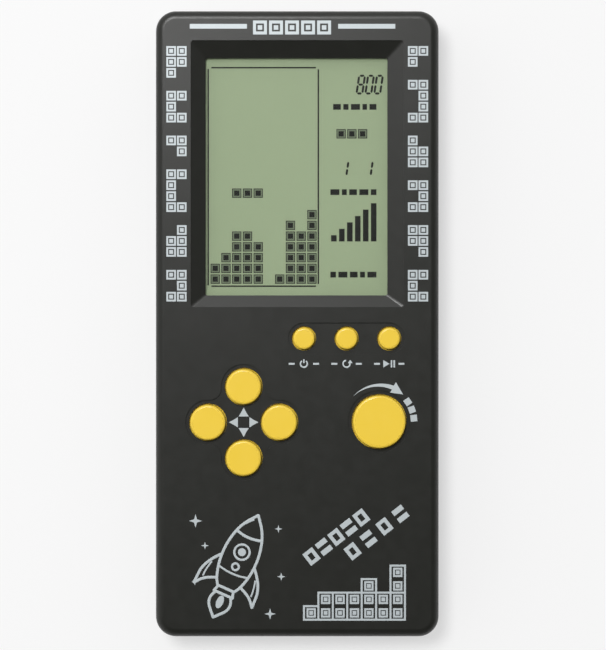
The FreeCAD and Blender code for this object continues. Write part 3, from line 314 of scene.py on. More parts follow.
def ink_piece(name, draw, material, level=None):
    """A piece of print: draw adds flat faces, and may return round lines with their width."""
    sizes = settings()[1]
    bottom = (face_height() if level is None else level) - sizes.ink_depth
    height = sizes.ink_depth + sizes.ink_height
    flat, lines = bmesh.new(), bmesh.new()
    for verts, width in draw(flat, lines) or ():
        flatten(lines, verts, bottom, height, width)
    thicken(flat, bottom, height)
    joined = bpy.data.meshes.new("lines")
    lines.to_mesh(joined)
    lines.free()
    flat.from_mesh(joined)
    bpy.data.meshes.remove(joined)
    return piece(name, flat, material)


def smooth_copy(name, material, slot, sharp=30):
    """A welded copy of a CAD node with smooth shading on its roundings, which stands for the node."""
    source = NODES[name]
    bm = bmesh.new()
    bm.from_mesh(source.data)
    bmesh.ops.remove_doubles(bm, verts=bm.verts[:], dist=1e-6)
    made = piece(f"{name}_finished", bm, material, source["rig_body"], sharp)
    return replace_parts(made, name)


# ---------------------------------------------------------------- material helpers


def add_node(tree, kind, inputs=None, **values):
    """Adds a node with its properties, and its sockets' values or links."""
    made = tree.nodes.new(kind)
    for key, value in values.items():
        setattr(made, key, value)
    for key, value in (inputs or {}).items():
        if isinstance(value, bpy.types.NodeSocket):
            tree.links.new(value, made.inputs[key])
        else:
            made.inputs[key].default_value = value
    return made


def new_material(name, **shader):
    """A material with one Principled shader: returns it, its tree, the shader and Object coordinates."""
    material = bpy.data.materials.new(name)
    material.use_nodes = True
    tree = material.node_tree
    tree.nodes.clear()
    base = add_node(tree, "ShaderNodeBsdfPrincipled", {key.replace("_", " "): v for key, v in shader.items()})
    add_node(tree, "ShaderNodeOutputMaterial", {"Surface": base.outputs[0]})
    return material, tree, base, add_node(tree, "ShaderNodeTexCoord").outputs["Object"]


def grains(tree, place, millimetres, detail=2.0, stretch=None):
    """Noise with grains of about this size."""
    if stretch:
        place = add_node(tree, "ShaderNodeMapping", {"Vector": place, "Scale": stretch}).outputs[0]
    return add_node(
        tree, "ShaderNodeTexNoise", {"Vector": place, "Scale": 1 / (millimetres * MM), "Detail": detail}
    ).outputs["Fac"]


def vary(tree, value, low, high):
    """Spreads noise over a range of values."""
    return add_node(
        tree,
        "ShaderNodeMapRange",
        {"Value": value, "From Min": 0.3, "From Max": 0.7, "To Min": low, "To Max": high},
    ).outputs[0]


def shade(tree, value, colour, darker, lighter):
    """A colour that noise makes darker and lighter by these factors."""
    ends = [[c * factor for c in colour[:3]] + [1.0] for factor in (darker, lighter)]
    mix = add_node(tree, "ShaderNodeMix", {0: value, 6: ends[0], 7: ends[1]}, data_type="RGBA")
    return mix.outputs[2]


def rough(tree, base, height, strength, millimetres):
    """Bumps of a depth in millimetres, from a height pattern."""
    inputs = {"Strength": strength, "Distance": millimetres * MM, "Height": height}
    bump = add_node(tree, "ShaderNodeBump", inputs)
    tree.links.new(bump.outputs[0], base.inputs["Normal"])


def place_along(tree, place, axis, start, end):
    """0 at start and 1 at end along an axis, in metres."""
    parts = add_node(tree, "ShaderNodeSeparateXYZ", {"Vector": place})
    ramp = add_node(tree, "ShaderNodeMapRange", {"Value": parts.outputs["XYZ".index(axis)]})
    ramp.inputs["From Min"].default_value, ramp.inputs["From Max"].default_value = start, end
    return ramp.outputs[0]


def stripes(tree, value, stops):
    """Sharp bands of colour: stops are (where it starts, hex code)."""
    made = add_node(tree, "ShaderNodeValToRGB", {"Fac": value})
    ramp = made.color_ramp
    ramp.interpolation = "CONSTANT"
    for index, (start, code) in enumerate(stops):
        stop = ramp.elements[index] if index < 2 else ramp.elements.new(start)
        stop.position, stop.color = start, linear(code)
    return made.outputs["Color"]


# ---------------------------------------------------------------- materials


def moulded_case():
    """Spark-eroded ABS: a fine grain breaks the softbox's reflection into a satin sheen."""
    material, tree, base, place = new_material("ABS case, spark-eroded satin", IOR=1.53)
    colour = settings()[0].case
    tree.links.new(shade(tree, grains(tree, place, 9, 4), colour, 0.94, 1.06), base.inputs["Base Color"])
    tree.links.new(vary(tree, grains(tree, place, 3, 3), 0.36, 0.41), base.inputs["Roughness"])
    rough(tree, base, grains(tree, place, 0.28, 1), 0.22, 0.03)
    return material


def moulded_button():
    """Polished ABS: even bright yellow with a soft highlight; its roughness wanders a little."""
    material, tree, base, place = new_material("ABS button, polished", IOR=1.53, Coat_Weight=0.1)
    colour = settings()[0].button
    tree.links.new(shade(tree, grains(tree, place, 6, 2), colour, 0.985, 1.015), base.inputs["Base Color"])
    tree.links.new(vary(tree, grains(tree, place, 4, 3), 0.28, 0.36), base.inputs["Roughness"])
    return material


def printed_ink(name, colour, metallic, roughness, **shader):
    """Screen-printing ink: thin, even and slightly mottled where the mesh laid it down."""
    material, tree, base, place = new_material(name, Metallic=metallic, **shader)
    tree.links.new(shade(tree, grains(tree, place, 0.5, 2), colour, 0.95, 1.03), base.inputs["Base Color"])
    mottle = vary(tree, grains(tree, place, 0.4, 2), roughness - 0.04, roughness + 0.04)
    tree.links.new(mottle, base.inputs["Roughness"])
    return material


def clear_lens():
    """Acrylic window: clear, with a sharp reflection; lamps shine through it onto the display."""
    name = "Acrylic lens, clear polished"
    material, tree, base, place = new_material(name, IOR=1.49, Transmission_Weight=1.0)
    base.inputs["Base Color"].default_value = linear("FAFCFB")
    tree.links.new(vary(tree, grains(tree, place, 12, 2), 0.0, 0.015), base.inputs["Roughness"])
    through = add_node(tree, "ShaderNodeBsdfTransparent")
    path = add_node(tree, "ShaderNodeLightPath").outputs
    rays = {0: path["Is Shadow Ray"], 1: path["Is Diffuse Ray"]}
    lit = add_node(tree, "ShaderNodeMath", rays, operation="MAXIMUM").outputs[0]
    mix = add_node(tree, "ShaderNodeMixShader", {0: lit, 1: base.outputs[0], 2: through.outputs[0]})
    output = next(node for node in tree.nodes if node.type == "OUTPUT_MATERIAL")
    tree.links.new(mix.outputs[0], output.inputs["Surface"])
    return material


def polariser():
    """Polarising film over the reflective display: grey-green, faintly cloudy, nearly matt."""
    material, tree, base, place = new_material("Polariser film, matt grey-green", Specular_IOR_Level=0.2)
    colour = settings()[0].display
    tree.links.new(shade(tree, grains(tree, place, 30, 2), colour, 0.985, 1.015), base.inputs["Base Color"])
    tree.links.new(vary(tree, grains(tree, place, 2, 2), 0.42, 0.5), base.inputs["Roughness"])
    return material


def plain(name, code, roughness, millimetres, spread=0.06, metallic=0.0, bump=0.0, **shader):
    """A plain finish: the colour and roughness wander a little, and the surface may be bumpy."""
    material, tree, base, place = new_material(name, Metallic=metallic, **shader)
    noise = grains(tree, place, millimetres, 3)
    tree.links.new(shade(tree, noise, linear(code), 1 - spread, 1 + spread), base.inputs["Base Color"])
    wander = vary(tree, noise, max(roughness - spread, 0.02), roughness + spread)
    tree.links.new(wander, base.inputs["Roughness"])
    if bump:
        rough(tree, base, noise, 0.5, bump)
    return material


def circuit_board():
    """Solder mask over copper: deep green, with tracks that show as paler lines."""
    material, tree, base, place = new_material("Circuit board, green solder mask", Roughness=0.32)
    tracks = add_node(
        tree,
        "ShaderNodeTexBrick",
        {
            "Vector": place,
            "Color1": linear("14512B"),
            "Color2": linear("17582F"),
            "Mortar": linear("2F7D46"),
            "Scale": 1 / (10 * MM),
            "Mortar Size": 0.03,
            "Brick Width": 0.9,
            "Row Height": 0.22,
        },
    )
    tree.links.new(tracks.outputs["Color"], base.inputs["Base Color"])
    rough(tree, base, tracks.outputs["Fac"], 0.4, 0.03)
    return material


def zebra_rubber(name):
    """Layered connector: conducting layers as dark lines across pale silicone."""
    material, tree, base, place = new_material("Zebra strip, layered silicone", Roughness=0.55)
    low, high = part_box(name)
    along = "X" if high.x - low.x > high.y - low.y else "Y"
    inputs = {"Vector": place, "Scale": 0.314 / (0.5 * MM)}
    wave = add_node(tree, "ShaderNodeTexWave", inputs, wave_type="BANDS", bands_direction=along)
    layers = stripes(tree, wave.outputs["Fac"], ((0.0, "D8D4CC"), (0.55, "1C1C1C")))
    tree.links.new(layers, base.inputs["Base Color"])
    return material


def cell_sleeve(name, plus):
    """Shrink sleeve on a dry cell: dark, with a copper-coloured band at the plus end."""
    low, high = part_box(name)
    start, end = (low.x, high.x) if plus < 0 else (high.x, low.x)
    title = f"Cell sleeve, gloss foil, {name}"
    material, tree, base, place = new_material(title, Roughness=0.24, Metallic=0.55)
    along = place_along(tree, place, "X", start, end)
    bands = ((0.0, "B9BCBE"), (0.035, "B87638"), (0.27, "1F2226"), (0.975, "B9BCBE"))
    tree.links.new(stripes(tree, along, bands), base.inputs["Base Color"])
    return material


def capacitor_sleeve():
    """Electrolytic capacitor: dark blue sleeve with the pale stripe that marks its minus side."""
    low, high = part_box("capacitor")
    material, tree, base, place = new_material("Capacitor sleeve, gloss vinyl", Roughness=0.28)
    across = place_along(tree, place, "X", low.x, high.x)
    tree.links.new(stripes(tree, across, ((0.0, "1B2A4E"), (0.86, "C9CDD2"))), base.inputs["Base Color"])
    return material


def resistor_bands():
    """Carbon-film resistors: beige lacquer with four colour bands, and tinned ends."""
    low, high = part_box("resistors")
    axis, start, end = ("Y", low.y, high.y) if high.x - low.x > high.y - low.y else ("X", low.x, high.x)
    material, tree, base, place = new_material("Resistor lacquer with bands", Roughness=0.35)
    bands = (
        (0.0, "B8BABC"),
        (0.15, "CDB28A"),
        (0.26, "7A3B1E"),
        (0.34, "CDB28A"),
        (0.42, "1A1A1A"),
        (0.50, "CDB28A"),
        (0.58, "B5342B"),
        (0.66, "CDB28A"),
        (0.74, "B08D3C"),
        (0.80, "CDB28A"),
        (0.86, "B8BABC"),
    )
    colour = stripes(tree, place_along(tree, place, axis, start, end), bands)
    tree.links.new(colour, base.inputs["Base Color"])
    return material


def finish(material, *names):
    """Gives CAD nodes a material."""
    for name in names:
        materials = NODES[name].data.materials
        materials.clear()
        materials.append(material)


def cut_dome(name, node, material, planes):
    """The part of a rubber mat behind these planes, closed where it is cut: the dome under its button."""
    bm = bmesh.new()
    bm.from_mesh(NODES[node].data)
    bmesh.ops.remove_doubles(bm, verts=bm.verts[:], dist=1e-6)
    for point, normal in planes:
        geometry = bm.verts[:] + bm.edges[:] + bm.faces[:]
        bmesh.ops.bisect_plane(bm, geom=geometry, plane_co=point, plane_no=normal, clear_outer=True)
        bmesh.ops.holes_fill(bm, edges=[edge for edge in bm.edges if edge.is_boundary], sides=0)
    made = piece(f"{name}_dome", bm, material, NODES[node]["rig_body"])
    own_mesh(made)
    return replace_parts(made, node)


def mat_domes(material):
    """The three mats, cut between their domes."""
    centre = Vector((*pad_middle(), 0))
    for name, (x, y) in DIRECTIONS.items():
        sides = ((centre, (-x - y, x - y, 0)), (centre, (y - x, -x - y, 0)))
        cut_dome(name, "direction_rubber_mat", material, sides)
    half = (middle("reset_button")[0] - middle("power_button")[0]) / 2
    for name, sides in (("power", (1,)), ("reset", (-1, 1)), ("start", (-1,))):
        x, y = middle(f"{name}_button")
        planes = [(Vector((x + side * half, y, 0)), (side, 0, 0)) for side in sides]
        cut_dome(name, "function_rubber_mat", material, planes)
    cut_dome("rotate", "rotate_rubber_mat", material, ())


# ---------------------------------------------------------------- operators


class LCDGAME_OT_case(bpy.types.Operator):
    """Finish the case halves and the battery door"""

    bl_idname = "lcdgame.case"
    bl_label = "Case"

    def execute(self, context):
        finish(moulded_case(), "front_case", "rear_case", "battery_door")
        return {"FINISHED"}


class LCDGAME_OT_buttons(bpy.types.Operator):
    """Finish the buttons, their rubber mats and carbon pills"""

    bl_idname = "lcdgame.buttons"
    bl_label = "Buttons"

    def execute(self, context):
        finish(moulded_button(), *(f"{name}_button" for name in BUTTONS))
        rubber = plain("Silicone mat, matt grey", "8D9094", 0.62, 4, bump=0.01, Subsurface_Weight=0.05)
        mat_domes(rubber)
        carbon = plain("Carbon pill, dull black", "151515", 0.7, 0.4, bump=0.02)
        finish(carbon, *(f"{name}_pill" for name in BUTTONS))
        return {"FINISHED"}


class LCDGAME_OT_lens(bpy.types.Operator):
    """Finish the lens over the display and its foam gasket"""

    bl_idname = "lcdgame.lens"
    bl_label = "Lens"

    def execute(self, context):
        finish(clear_lens(), "screen_lens")
        finish(plain("Gasket foam, open black", "121212", 0.85, 0.3, bump=0.08), "lens_gasket")
        return {"FINISHED"}


def shown_cells():
    """Display cells that are dark, as (column, row): the heap and the falling piece."""
    heap = [(column, row) for column, height in enumerate(DISPLAY_COLUMNS) for row in range(height)]
    return heap + [(2, 8), (3, 8), (4, 8)]


def display_spot(column, row):
    """The middle of a display cell."""
    pitch = settings()[1].display_pitch
    low = window()[0]
    return low.x + 2.78 * MM + pitch * column, low.y + 4.73 * MM + pitch * row


def preview_spots():
    """Cells that show the next piece."""
    low = window()[0]
    return [(low.x + x * MM, low.y + 46.65 * MM) for x in (39.1, 42.2, 45.3)]


def bar(flat, first, last, width):
    """A bar with pointed ends between two points."""
    first, last = Vector(first), Vector(last)
    along = (last - first).normalized()
    side = Vector((-along.y, along.x)) * width / 2
    tip = along * width / 2
    corners = (first, first + tip - side, last - tip - side, last, last - tip + side, first + tip + side)
    outline(flat, corners)


def digit(flat, figure, corner, width, height, line, lean):
    """A seven-segment figure, from its lower left corner."""
    half = height / 2
    left, right = 0.0, width

    def spot(x, y):
        return corner[0] + x + y * lean, corner[1] + y

    ends = (
        ((left, height), (right, height)),
        ((left, half), (left, height)),
        ((right, half), (right, height)),
        ((left, half), (right, half)),
        ((left, 0), (left, half)),
        ((right, 0), (right, half)),
        ((left, 0), (right, 0)),
    )
    for dark, (first, last) in zip(DIGITS[figure], ends):
        if dark:
            start, stop = Vector(spot(*first)), Vector(spot(*last))
            gap = (stop - start).normalized() * line * 0.2
            bar(flat, start + gap, stop - gap, line)


def draw_segments(flat, lines):
    """Everything on the display that is fully dark."""
    sizes = settings()[1]
    cell, line = sizes.display_cell, sizes.display_line
    for spot in [display_spot(*place) for place in shown_cells()] + preview_spots():
        ring(flat, cell, cell, cell * 0.085, at(*spot))
        quad(flat, cell * 0.58, cell * 0.58, at(*spot))
    low = window()[0]

    def box(x0, y0, x1, y1):
        quad(flat, (x1 - x0) * MM, (y1 - y0) * MM, at(low.x + (x0 + x1) / 2 * MM, low.y + (y0 + y1) / 2 * MM))

    half = line / MM / 2
    box(1.65, 65.73 - half, 31.85, 65.73 + half)
    box(1.65, 2.69 - half, 31.85, 2.69 + half)
    box(0.75 - half, 2.95, 0.75 + half, 65.35)
    box(32.52 - half, 3.3, 32.52 + half, 65.25)
    for index, figure in enumerate("800"):
        corner = low.x + (43.55 + 2.57 * index) * MM, low.y + 58.3 * MM
        digit(flat, figure, corner, 1.66 * MM, 5.1 * MM, 0.62 * MM, 0.15)
    for x in (40.6, 47.6):
        digit(flat, "1", (low.x + (x - 1.5) * MM, low.y + 34.6 * MM), 1.5 * MM, 4.1 * MM, 0.62 * MM, 0.15)
    for x0, y0, widths in (
        (36.8, 53.6, (2.2, 1.5, 2.6, 1.3, 2.0)),
        (36.0, 29.0, (2.6, 1.4, 2.2, 2.6, 1.6)),
        (36.0, 5.2, (1.6, 2.6, 2.2, 1.4, 2.6)),
    ):
        for width in widths:
            box(x0, y0, x0 + width, y0 + 1.65)
            x0 += width + 0.72
    for step in range(6):
        x0 = 36.2 + 2.3 * step
        box(x0, 15.6, x0 + 1.6, 17.4 + 1.85 * step)


def draw_rings(flat, lines):
    """The half-dark rings inside the display's cells."""
    cell = settings()[1].display_cell
    for spot in [display_spot(*place) for place in shown_cells()] + preview_spots():
        ring(flat, cell * 0.81, cell * 0.81, cell * 0.105, at(*spot))


class LCDGAME_OT_display(bpy.types.Operator):
    """Finish the display's layers and draw the game it shows"""

    bl_idname = "lcdgame.display"
    bl_label = "Display"

    def execute(self, context):
        colours = settings()[0]
        shader = {"Transmission_Weight": 0.85, "IOR": 1.52}
        glass = plain("Display glass, green edge", "8FA396", 0.08, 20, spread=0.02, **shader)
        finish(polariser(), "lcd_polariser")
        finish(glass, "lcd_front_glass", "lcd_rear_glass")
        finish(plain("Reflector film, satin silver", "B5B8B2", 0.4, 3, metallic=0.8), "lcd_reflector")
        for name in ("zebra_strip_upper", "zebra_strip_lower"):
            finish(zebra_rubber(name), name)
        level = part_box("lcd_polariser")[1].z
        shader = {"Specular_IOR_Level": 0.1}
        dark = printed_ink("Liquid crystal, dark", colours.segment, 0.0, 0.45, **shader)
        grey = printed_ink("Liquid crystal, half dark", colours.half_segment, 0.0, 0.45, **shader)
        ink_piece("display_segments", draw_segments, dark, level)
        ink_piece("display_rings", draw_rings, grey, level)
        return {"FINISHED"}


def ornament_cell(flat, x, y, size, line, dot):
    ring(flat, size, size, line, at(x, y))
    quad(flat, dot, dot, at(x, y))


def draw_frame(flat, lines):
    """Bars and marks above the display, and the ornament down both sides."""
    sizes = settings()[1]
    low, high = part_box("front_case")
    x, y = middle("screen_lens")[0], high.y - 4.6 * MM
    for side in (-21.3, 21.3):
        quad(flat, sizes.bar_length, sizes.bar_height, at(side * MM - 1.35 * MM, y))
    for step in range(-2, 3):
        ornament_cell(flat, x + (4.6 * step - 1.25) * MM, y - 0.35 * MM, 4 * MM, 0.85 * MM, 1.3 * MM)
    cell, pitch = sizes.cell, sizes.cell_pitch
    for groups, columns in (
        (LEFT_GROUPS, (low.x + 4.5 * MM, low.x + 7.55 * MM)),
        (RIGHT_GROUPS, (high.x - 7.55 * MM, high.x - 4.5 * MM)),
    ):
        y = high.y - 10.3 * MM - cell / 2
        for group in groups:
            for row in group:
                for x, mark in zip(columns, row):
                    if mark == "#":
                        ornament_cell(flat, x, y, cell, 0.52 * MM, 1.1 * MM)
                y -= pitch
            y -= sizes.group_gap


class LCDGAME_OT_frame_print(bpy.types.Operator):
    """Print the bars, marks and side ornament round the display"""

    bl_idname = "lcdgame.frame_print"
    bl_label = "Frame print"

    def execute(self, context):
        ink_piece("frame_print", draw_frame, silver_ink())
        return {"FINISHED"}


def silver_ink():
    """The one silver ink that every print on the case shares."""
    name = "Silver print, satin"
    return bpy.data.materials.get(name) or printed_ink(name, settings()[0].ink, 0.2, 0.42)


def pad_middle():
    """The middle of the four direction buttons."""
    return middle("up_button")[0], middle("left_button")[1]


def draw_pad(flat, lines):
    """Arrowheads between the direction buttons."""
    x, y = pad_middle()
    for direction in DIRECTIONS.values():
        angle = math.atan2(direction[1], direction[0])
        points = ((1.66, -1.48), (2.8, -0.76), (4.25, 0.0), (2.8, 0.76), (1.66, 1.48))
        outline(flat, [(px * MM, py * MM) for px, py in points], at(x, y, angle))


def polar(centre, radius, angle):
    """A point this many millimetres from a centre, at an angle in radians."""
    return centre[0] + radius * MM * math.cos(angle), centre[1] + radius * MM * math.sin(angle)


def draw_controls(flat, lines):
    """The turning arrow with its blocks, and a sign under each small button."""
    centre = middle("rotate_button")
    steps = 16
    outer, inner = [], []
    for step in range(steps + 1):
        share = step / steps
        angle = math.radians(135 - 67 * share)
        for side, radius in ((outer, 10.4 + 0.75 * share), (inner, 10.38 - 0.47 * share)):
            side.append(polar(centre, radius, angle))
    corners = ((12.3, 66.9), (10.4, 48.7), (8.9, 69.6))
    head = [polar(centre, radius, math.radians(degrees)) for radius, degrees in corners]
    outline(flat, outer + head + inner[::-1])
    for degrees in (34.7, 20.2, 5.7):
        angle = math.radians(degrees)
        quad(flat, 1.9 * MM, 1.9 * MM, at(*polar(centre, 10, angle), angle))
    signs = []
    for name in ("power", "reset", "start"):
        x, y = middle(f"{name}_button")
        signs.append((x, y - 7.3 * MM))
        for side in (-1, 1):
            quad(flat, 1.7 * MM, 0.55 * MM, at(x + side * 3.5 * MM, y - 7.3 * MM))
    line = 0.42 * MM
    (x, y), _, _ = signs
    yield stroke(lines, list(arc((x, y), 1.0 * MM, 125, 415, 14)), line), line
    quad(flat, line, 1.1 * MM, at(x, y + 0.75 * MM))
    _, (x, y), _ = signs
    yield stroke(lines, list(arc((x, y), 1.0 * MM, 100, 380, 14)), line), line
    outline(flat, [(x + px * MM, y + py * MM) for px, py in ((0.35, 0.2), (1.75, 0.2), (1.05, 1.15))])
    _, _, (x, y) = signs
    outline(flat, [(x + px * MM, y + py * MM) for px, py in ((-1.7, -1.05), (0.1, 0.0), (-1.7, 1.05))])
    for side in (0.65, 1.45):
        quad(flat, 0.45 * MM, 2.1 * MM, at(x + side * MM, y))


class LCDGAME_OT_control_print(bpy.types.Operator):
    """Print the signs round the buttons"""

    bl_idname = "lcdgame.control_print"
    bl_label = "Control print"

    def execute(self, context):
        ink_piece("control_print", draw_controls, silver_ink())
        ink_piece("pad_print", draw_pad, silver_ink(), face_height() - settings()[1].recess_depth)
        dark = printed_ink("Dark print, satin", linear("0B0C0A"), 0.0, 0.5)
        ink_piece("pad_square", draw_pad_square, dark, face_height() - settings()[1].recess_depth)
        return {"FINISHED"}


def draw_pad_square(flat, lines):
    ring(flat, 3.05 * MM, 3.05 * MM, 0.3 * MM, at(*pad_middle()))


# Right half of the rocket's hull from its nose down; a corner is a point twice.
ROCKET_SIDE = ((3.6, 11), (5.4, 5), (5.6, -1.5), (4.2, -7.2), (2.8, -9.4), (2.8, -9.4))
ROCKET_HULL = ((0, 15.6), (0, 15.6), *ROCKET_SIDE, *((-x, y) for x, y in reversed(ROCKET_SIDE)))
# The printed rocket, nose up, in millimetres from its middle: (points, closed, share of the line width).
ROCKET_LINES = (
    (ROCKET_HULL, True, 1.0),
    (((-4.3, 8.7), (0, 7.2), (4.3, 8.7)), False, 1.0),
    (((-5.2, -3.6), (0, -5.1), (5.2, -3.6)), False, 0.7),
    (((-5.4, 0.2), (-9.6, -4.4), (-9.9, -11.6), (-9.9, -11.6), (-7.4, -8.6), (-4.1, -7.4)), False, 1.0),
    (((5.4, 0.2), (9.6, -4.4), (9.9, -11.6), (9.9, -11.6), (7.4, -8.6), (4.1, -7.4)), False, 1.0),
    (((-2.5, -9.4), (-3.2, -11.4), (-3.2, -11.4), (3.2, -11.4), (3.2, -11.4), (2.5, -9.4)), False, 1.0),
    (((-2.6, -11.6), (-4.4, -14.4), (0, -19.2), (0, -19.2), (4.4, -14.4), (2.6, -11.6)), False, 1.0),
    (((-7.4, -3.4), (-8.2, -6.2), (-8.2, -8.6)), False, 0.6),
    (((7.4, -3.4), (8.2, -6.2), (8.2, -8.6)), False, 0.6),
    (((-2.6, 11.6), (-1.4, 13.2), (-0.6, 13.8)), False, 0.6),
)
ROCKET_RINGS = ((0, 3.0, 2.5), (0, -2.0, 1.1))
ROCKET_FILLS = (
    ((0, 3.0), 1.25, 1.25),
    ((0, -14.0), 1.1, 2.1),
)
STARS = (
    (-12.2, 11.5, 1.9),
    (-9.5, 4.4, 1.1),
    (11.6, 9.2, 1.1),
    (9.2, -15.2, 1.6),
    (-12.4, -6.0, 1.0),
    (12.4, -4.5, 1.2),
)


def draw_rocket(flat, lines):
    """A line drawing of a toy rocket between stars."""
    width = settings()[1].stroke
    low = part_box("front_case")[0]
    x, y = low.x + 23.7 * MM, low.y + 21.9 * MM
    turn = at(x, y, math.radians(-24))

    def spot(point):
        moved = turn @ Vector((point[0] * MM * 0.92, point[1] * MM * 0.92, 0))
        return moved.x, moved.y

    for points, closed, share in ROCKET_LINES:
        yield stroke(lines, [spot(point) for point in points], width * share, closed), width * share
    for cx, cy, radius in ROCKET_RINGS:
        circle = list(arc((cx, cy), radius, 0, 330, 11))
        yield stroke(lines, [spot(point) for point in circle], width * 0.8, True, order=4), width * 0.8
    for centre, across, tall in ROCKET_FILLS:
        angles = [math.tau * index / 28 for index in range(28)]
        oval = [(centre[0] + across * math.cos(a), centre[1] + tall * math.sin(a)) for a in angles]
        outline(flat, [spot(point) for point in oval])
    for sx, sy, size in STARS:
        points = []
        for corner in range(8):
            radius = size if corner % 2 == 0 else size * 0.32
            angle = math.radians(45 * corner + 90)
            points.append(polar((x + sx * MM, y + sy * MM), radius, angle))
        outline(flat, points)


class LCDGAME_OT_rocket_print(bpy.types.Operator):
    """Print the rocket at the lower left"""

    bl_idname = "lcdgame.rocket_print"
    bl_label = "Rocket print"

    def execute(self, context):
        ink_piece("rocket_print", draw_rocket, silver_ink())
        return {"FINISHED"}


def draw_stack(flat, lines):
    """A heap of blocks with lines round its columns, and two slanting rows of brick marks over it."""
    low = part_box("front_case")[0]
    wide, tall, line = 4.14 * MM, 3.88 * MM, 0.57 * MM
    left, base = low.x + 42.63 * MM, low.y + 5.05 * MM
    for column in range(len(STACK_COLUMNS) + 1):
        beside = STACK_COLUMNS[max(column - 1, 0) : column + 1]
        height = max(beside) * tall
        quad(flat, line, height + line, at(left + wide * column, base + height / 2))
    for column, count in enumerate(STACK_COLUMNS):
        x = left + wide * (column + 0.5)
        for level in {0, count, 2 if count > 2 else count}:
            quad(flat, wide - line, line, at(x, base + tall * level))
        for row in range(count):
            ornament_cell(flat, x, base + tall * (row + 0.5), 2.67 * MM, 0.55 * MM, 1.1 * MM)
    angle = math.radians(38)
    for count, pitch, x, y in ((5, 4.53, 44.8, 23.2), (4, 5.8, 56.6, 24.7)):
        for index in range(count):
            middle_x = low.x + (x + pitch * index * math.cos(angle)) * MM
            middle_y = low.y + (y + pitch * index * math.sin(angle)) * MM
            turn = at(middle_x, middle_y, angle)
            if index % 2:
                for side in (-1, 1):
                    quad(flat, 3.5 * MM, 1.55 * MM, turn @ Matrix.Translation((0, side * 1.3 * MM, 0)))
            else:
                ring(flat, 3.5 * MM, 4.15 * MM, 1.05 * MM, turn)


class LCDGAME_OT_stack_print(bpy.types.Operator):
    """Print the block stack and brick marks at the lower right"""

    bl_idname = "lcdgame.stack_print"
    bl_label = "Stack print"

    def execute(self, context):
        ink_piece("stack_print", draw_stack, silver_ink())
        return {"FINISHED"}


class LCDGAME_OT_electronics(bpy.types.Operator):
    """Finish the circuit board and what is soldered to it"""

    bl_idname = "lcdgame.electronics"
    bl_label = "Electronics"

    def execute(self, context):
        finish(circuit_board(), "main_board")
        finish(plain("Epoxy blob, glossy black", "0C0C0D", 0.2, 5, bump=0.05), "chip_blob")
        finish(capacitor_sleeve(), "capacitor")
        finish(resistor_bands(), "resistors")
        finish(plain("Brass disc, brushed", "C9A356", 0.3, 1.2, metallic=1.0), "buzzer_disc")
        finish(plain("Piezo ceramic, silvered", "C4C0B6", 0.5, 0.6), "buzzer_ceramic")
        finish(plain("Wire sleeve, red vinyl", "B3221C", 0.38, 2), "battery_wire_red", "buzzer_wire_red")
        black = plain("Wire sleeve, black vinyl", "18181A", 0.38, 2)
        finish(black, "battery_wire_black", "buzzer_wire_black")
        return {"FINISHED"}


class LCDGAME_OT_batteries(bpy.types.Operator):
    """Finish the cells, contacts, springs and screws"""

    bl_idname = "lcdgame.batteries"
    bl_label = "Batteries and screws"

    def execute(self, context):
        for name, plus in (("upper_cell", 1), ("lower_cell", -1)):
            finish(cell_sleeve(name, plus), name)
        nickel = plain("Spring steel, nickel-plated", "C3C1BB", 0.22, 0.8, metallic=1.0)
        finish(nickel, *(f"{name}_contact" for name in ("negative", "positive", "bridge")))
        finish(nickel, "negative_spring", "bridge_spring")
        zinc = plain("Screw steel, zinc-plated", "AEB2B5", 0.3, 0.7, metallic=1.0)
        finish(zinc, "case_screws", "board_screws")
        return {"FINISHED"}


# ---------------------------------------------------------------- stage


def floor_material():
    """Pale paper: it takes the game's shadow, and fades into the white studio far from the game."""
    material, tree, base, place = new_material("Studio paper, matt white", Roughness=0.9)
    paper = shade(tree, grains(tree, place, 40, 1), linear("FAFAFA"), 0.997, 1.003)
    tree.links.new(paper, base.inputs["Base Color"])
    base.inputs["Specular IOR Level"].default_value = 0.0
    path = add_node(tree, "ShaderNodeLightPath")
    white = add_node(tree, "ShaderNodeEmission", {"Color": linear("FAFAFA"), "Strength": 1.0})
    away = add_node(tree, "ShaderNodeVectorMath", {0: place}, operation="LENGTH").outputs["Value"]
    reach = {"Value": away, "From Min": 0.12, "From Max": 0.4, "To Min": 0.6}
    far = add_node(tree, "ShaderNodeMapRange", reach, interpolation_type="SMOOTHSTEP")
    rays = {0: far.outputs[0], 1: path.outputs["Is Camera Ray"]}
    seen = add_node(tree, "ShaderNodeMath", rays, operation="MULTIPLY")
    mix = add_node(tree, "ShaderNodeMixShader", {0: seen.outputs[0], 1: base.outputs[0], 2: white.outputs[0]})
    output = next(node for node in tree.nodes if node.type == "OUTPUT_MATERIAL")
    tree.links.new(mix.outputs[0], output.inputs["Surface"])
    return material


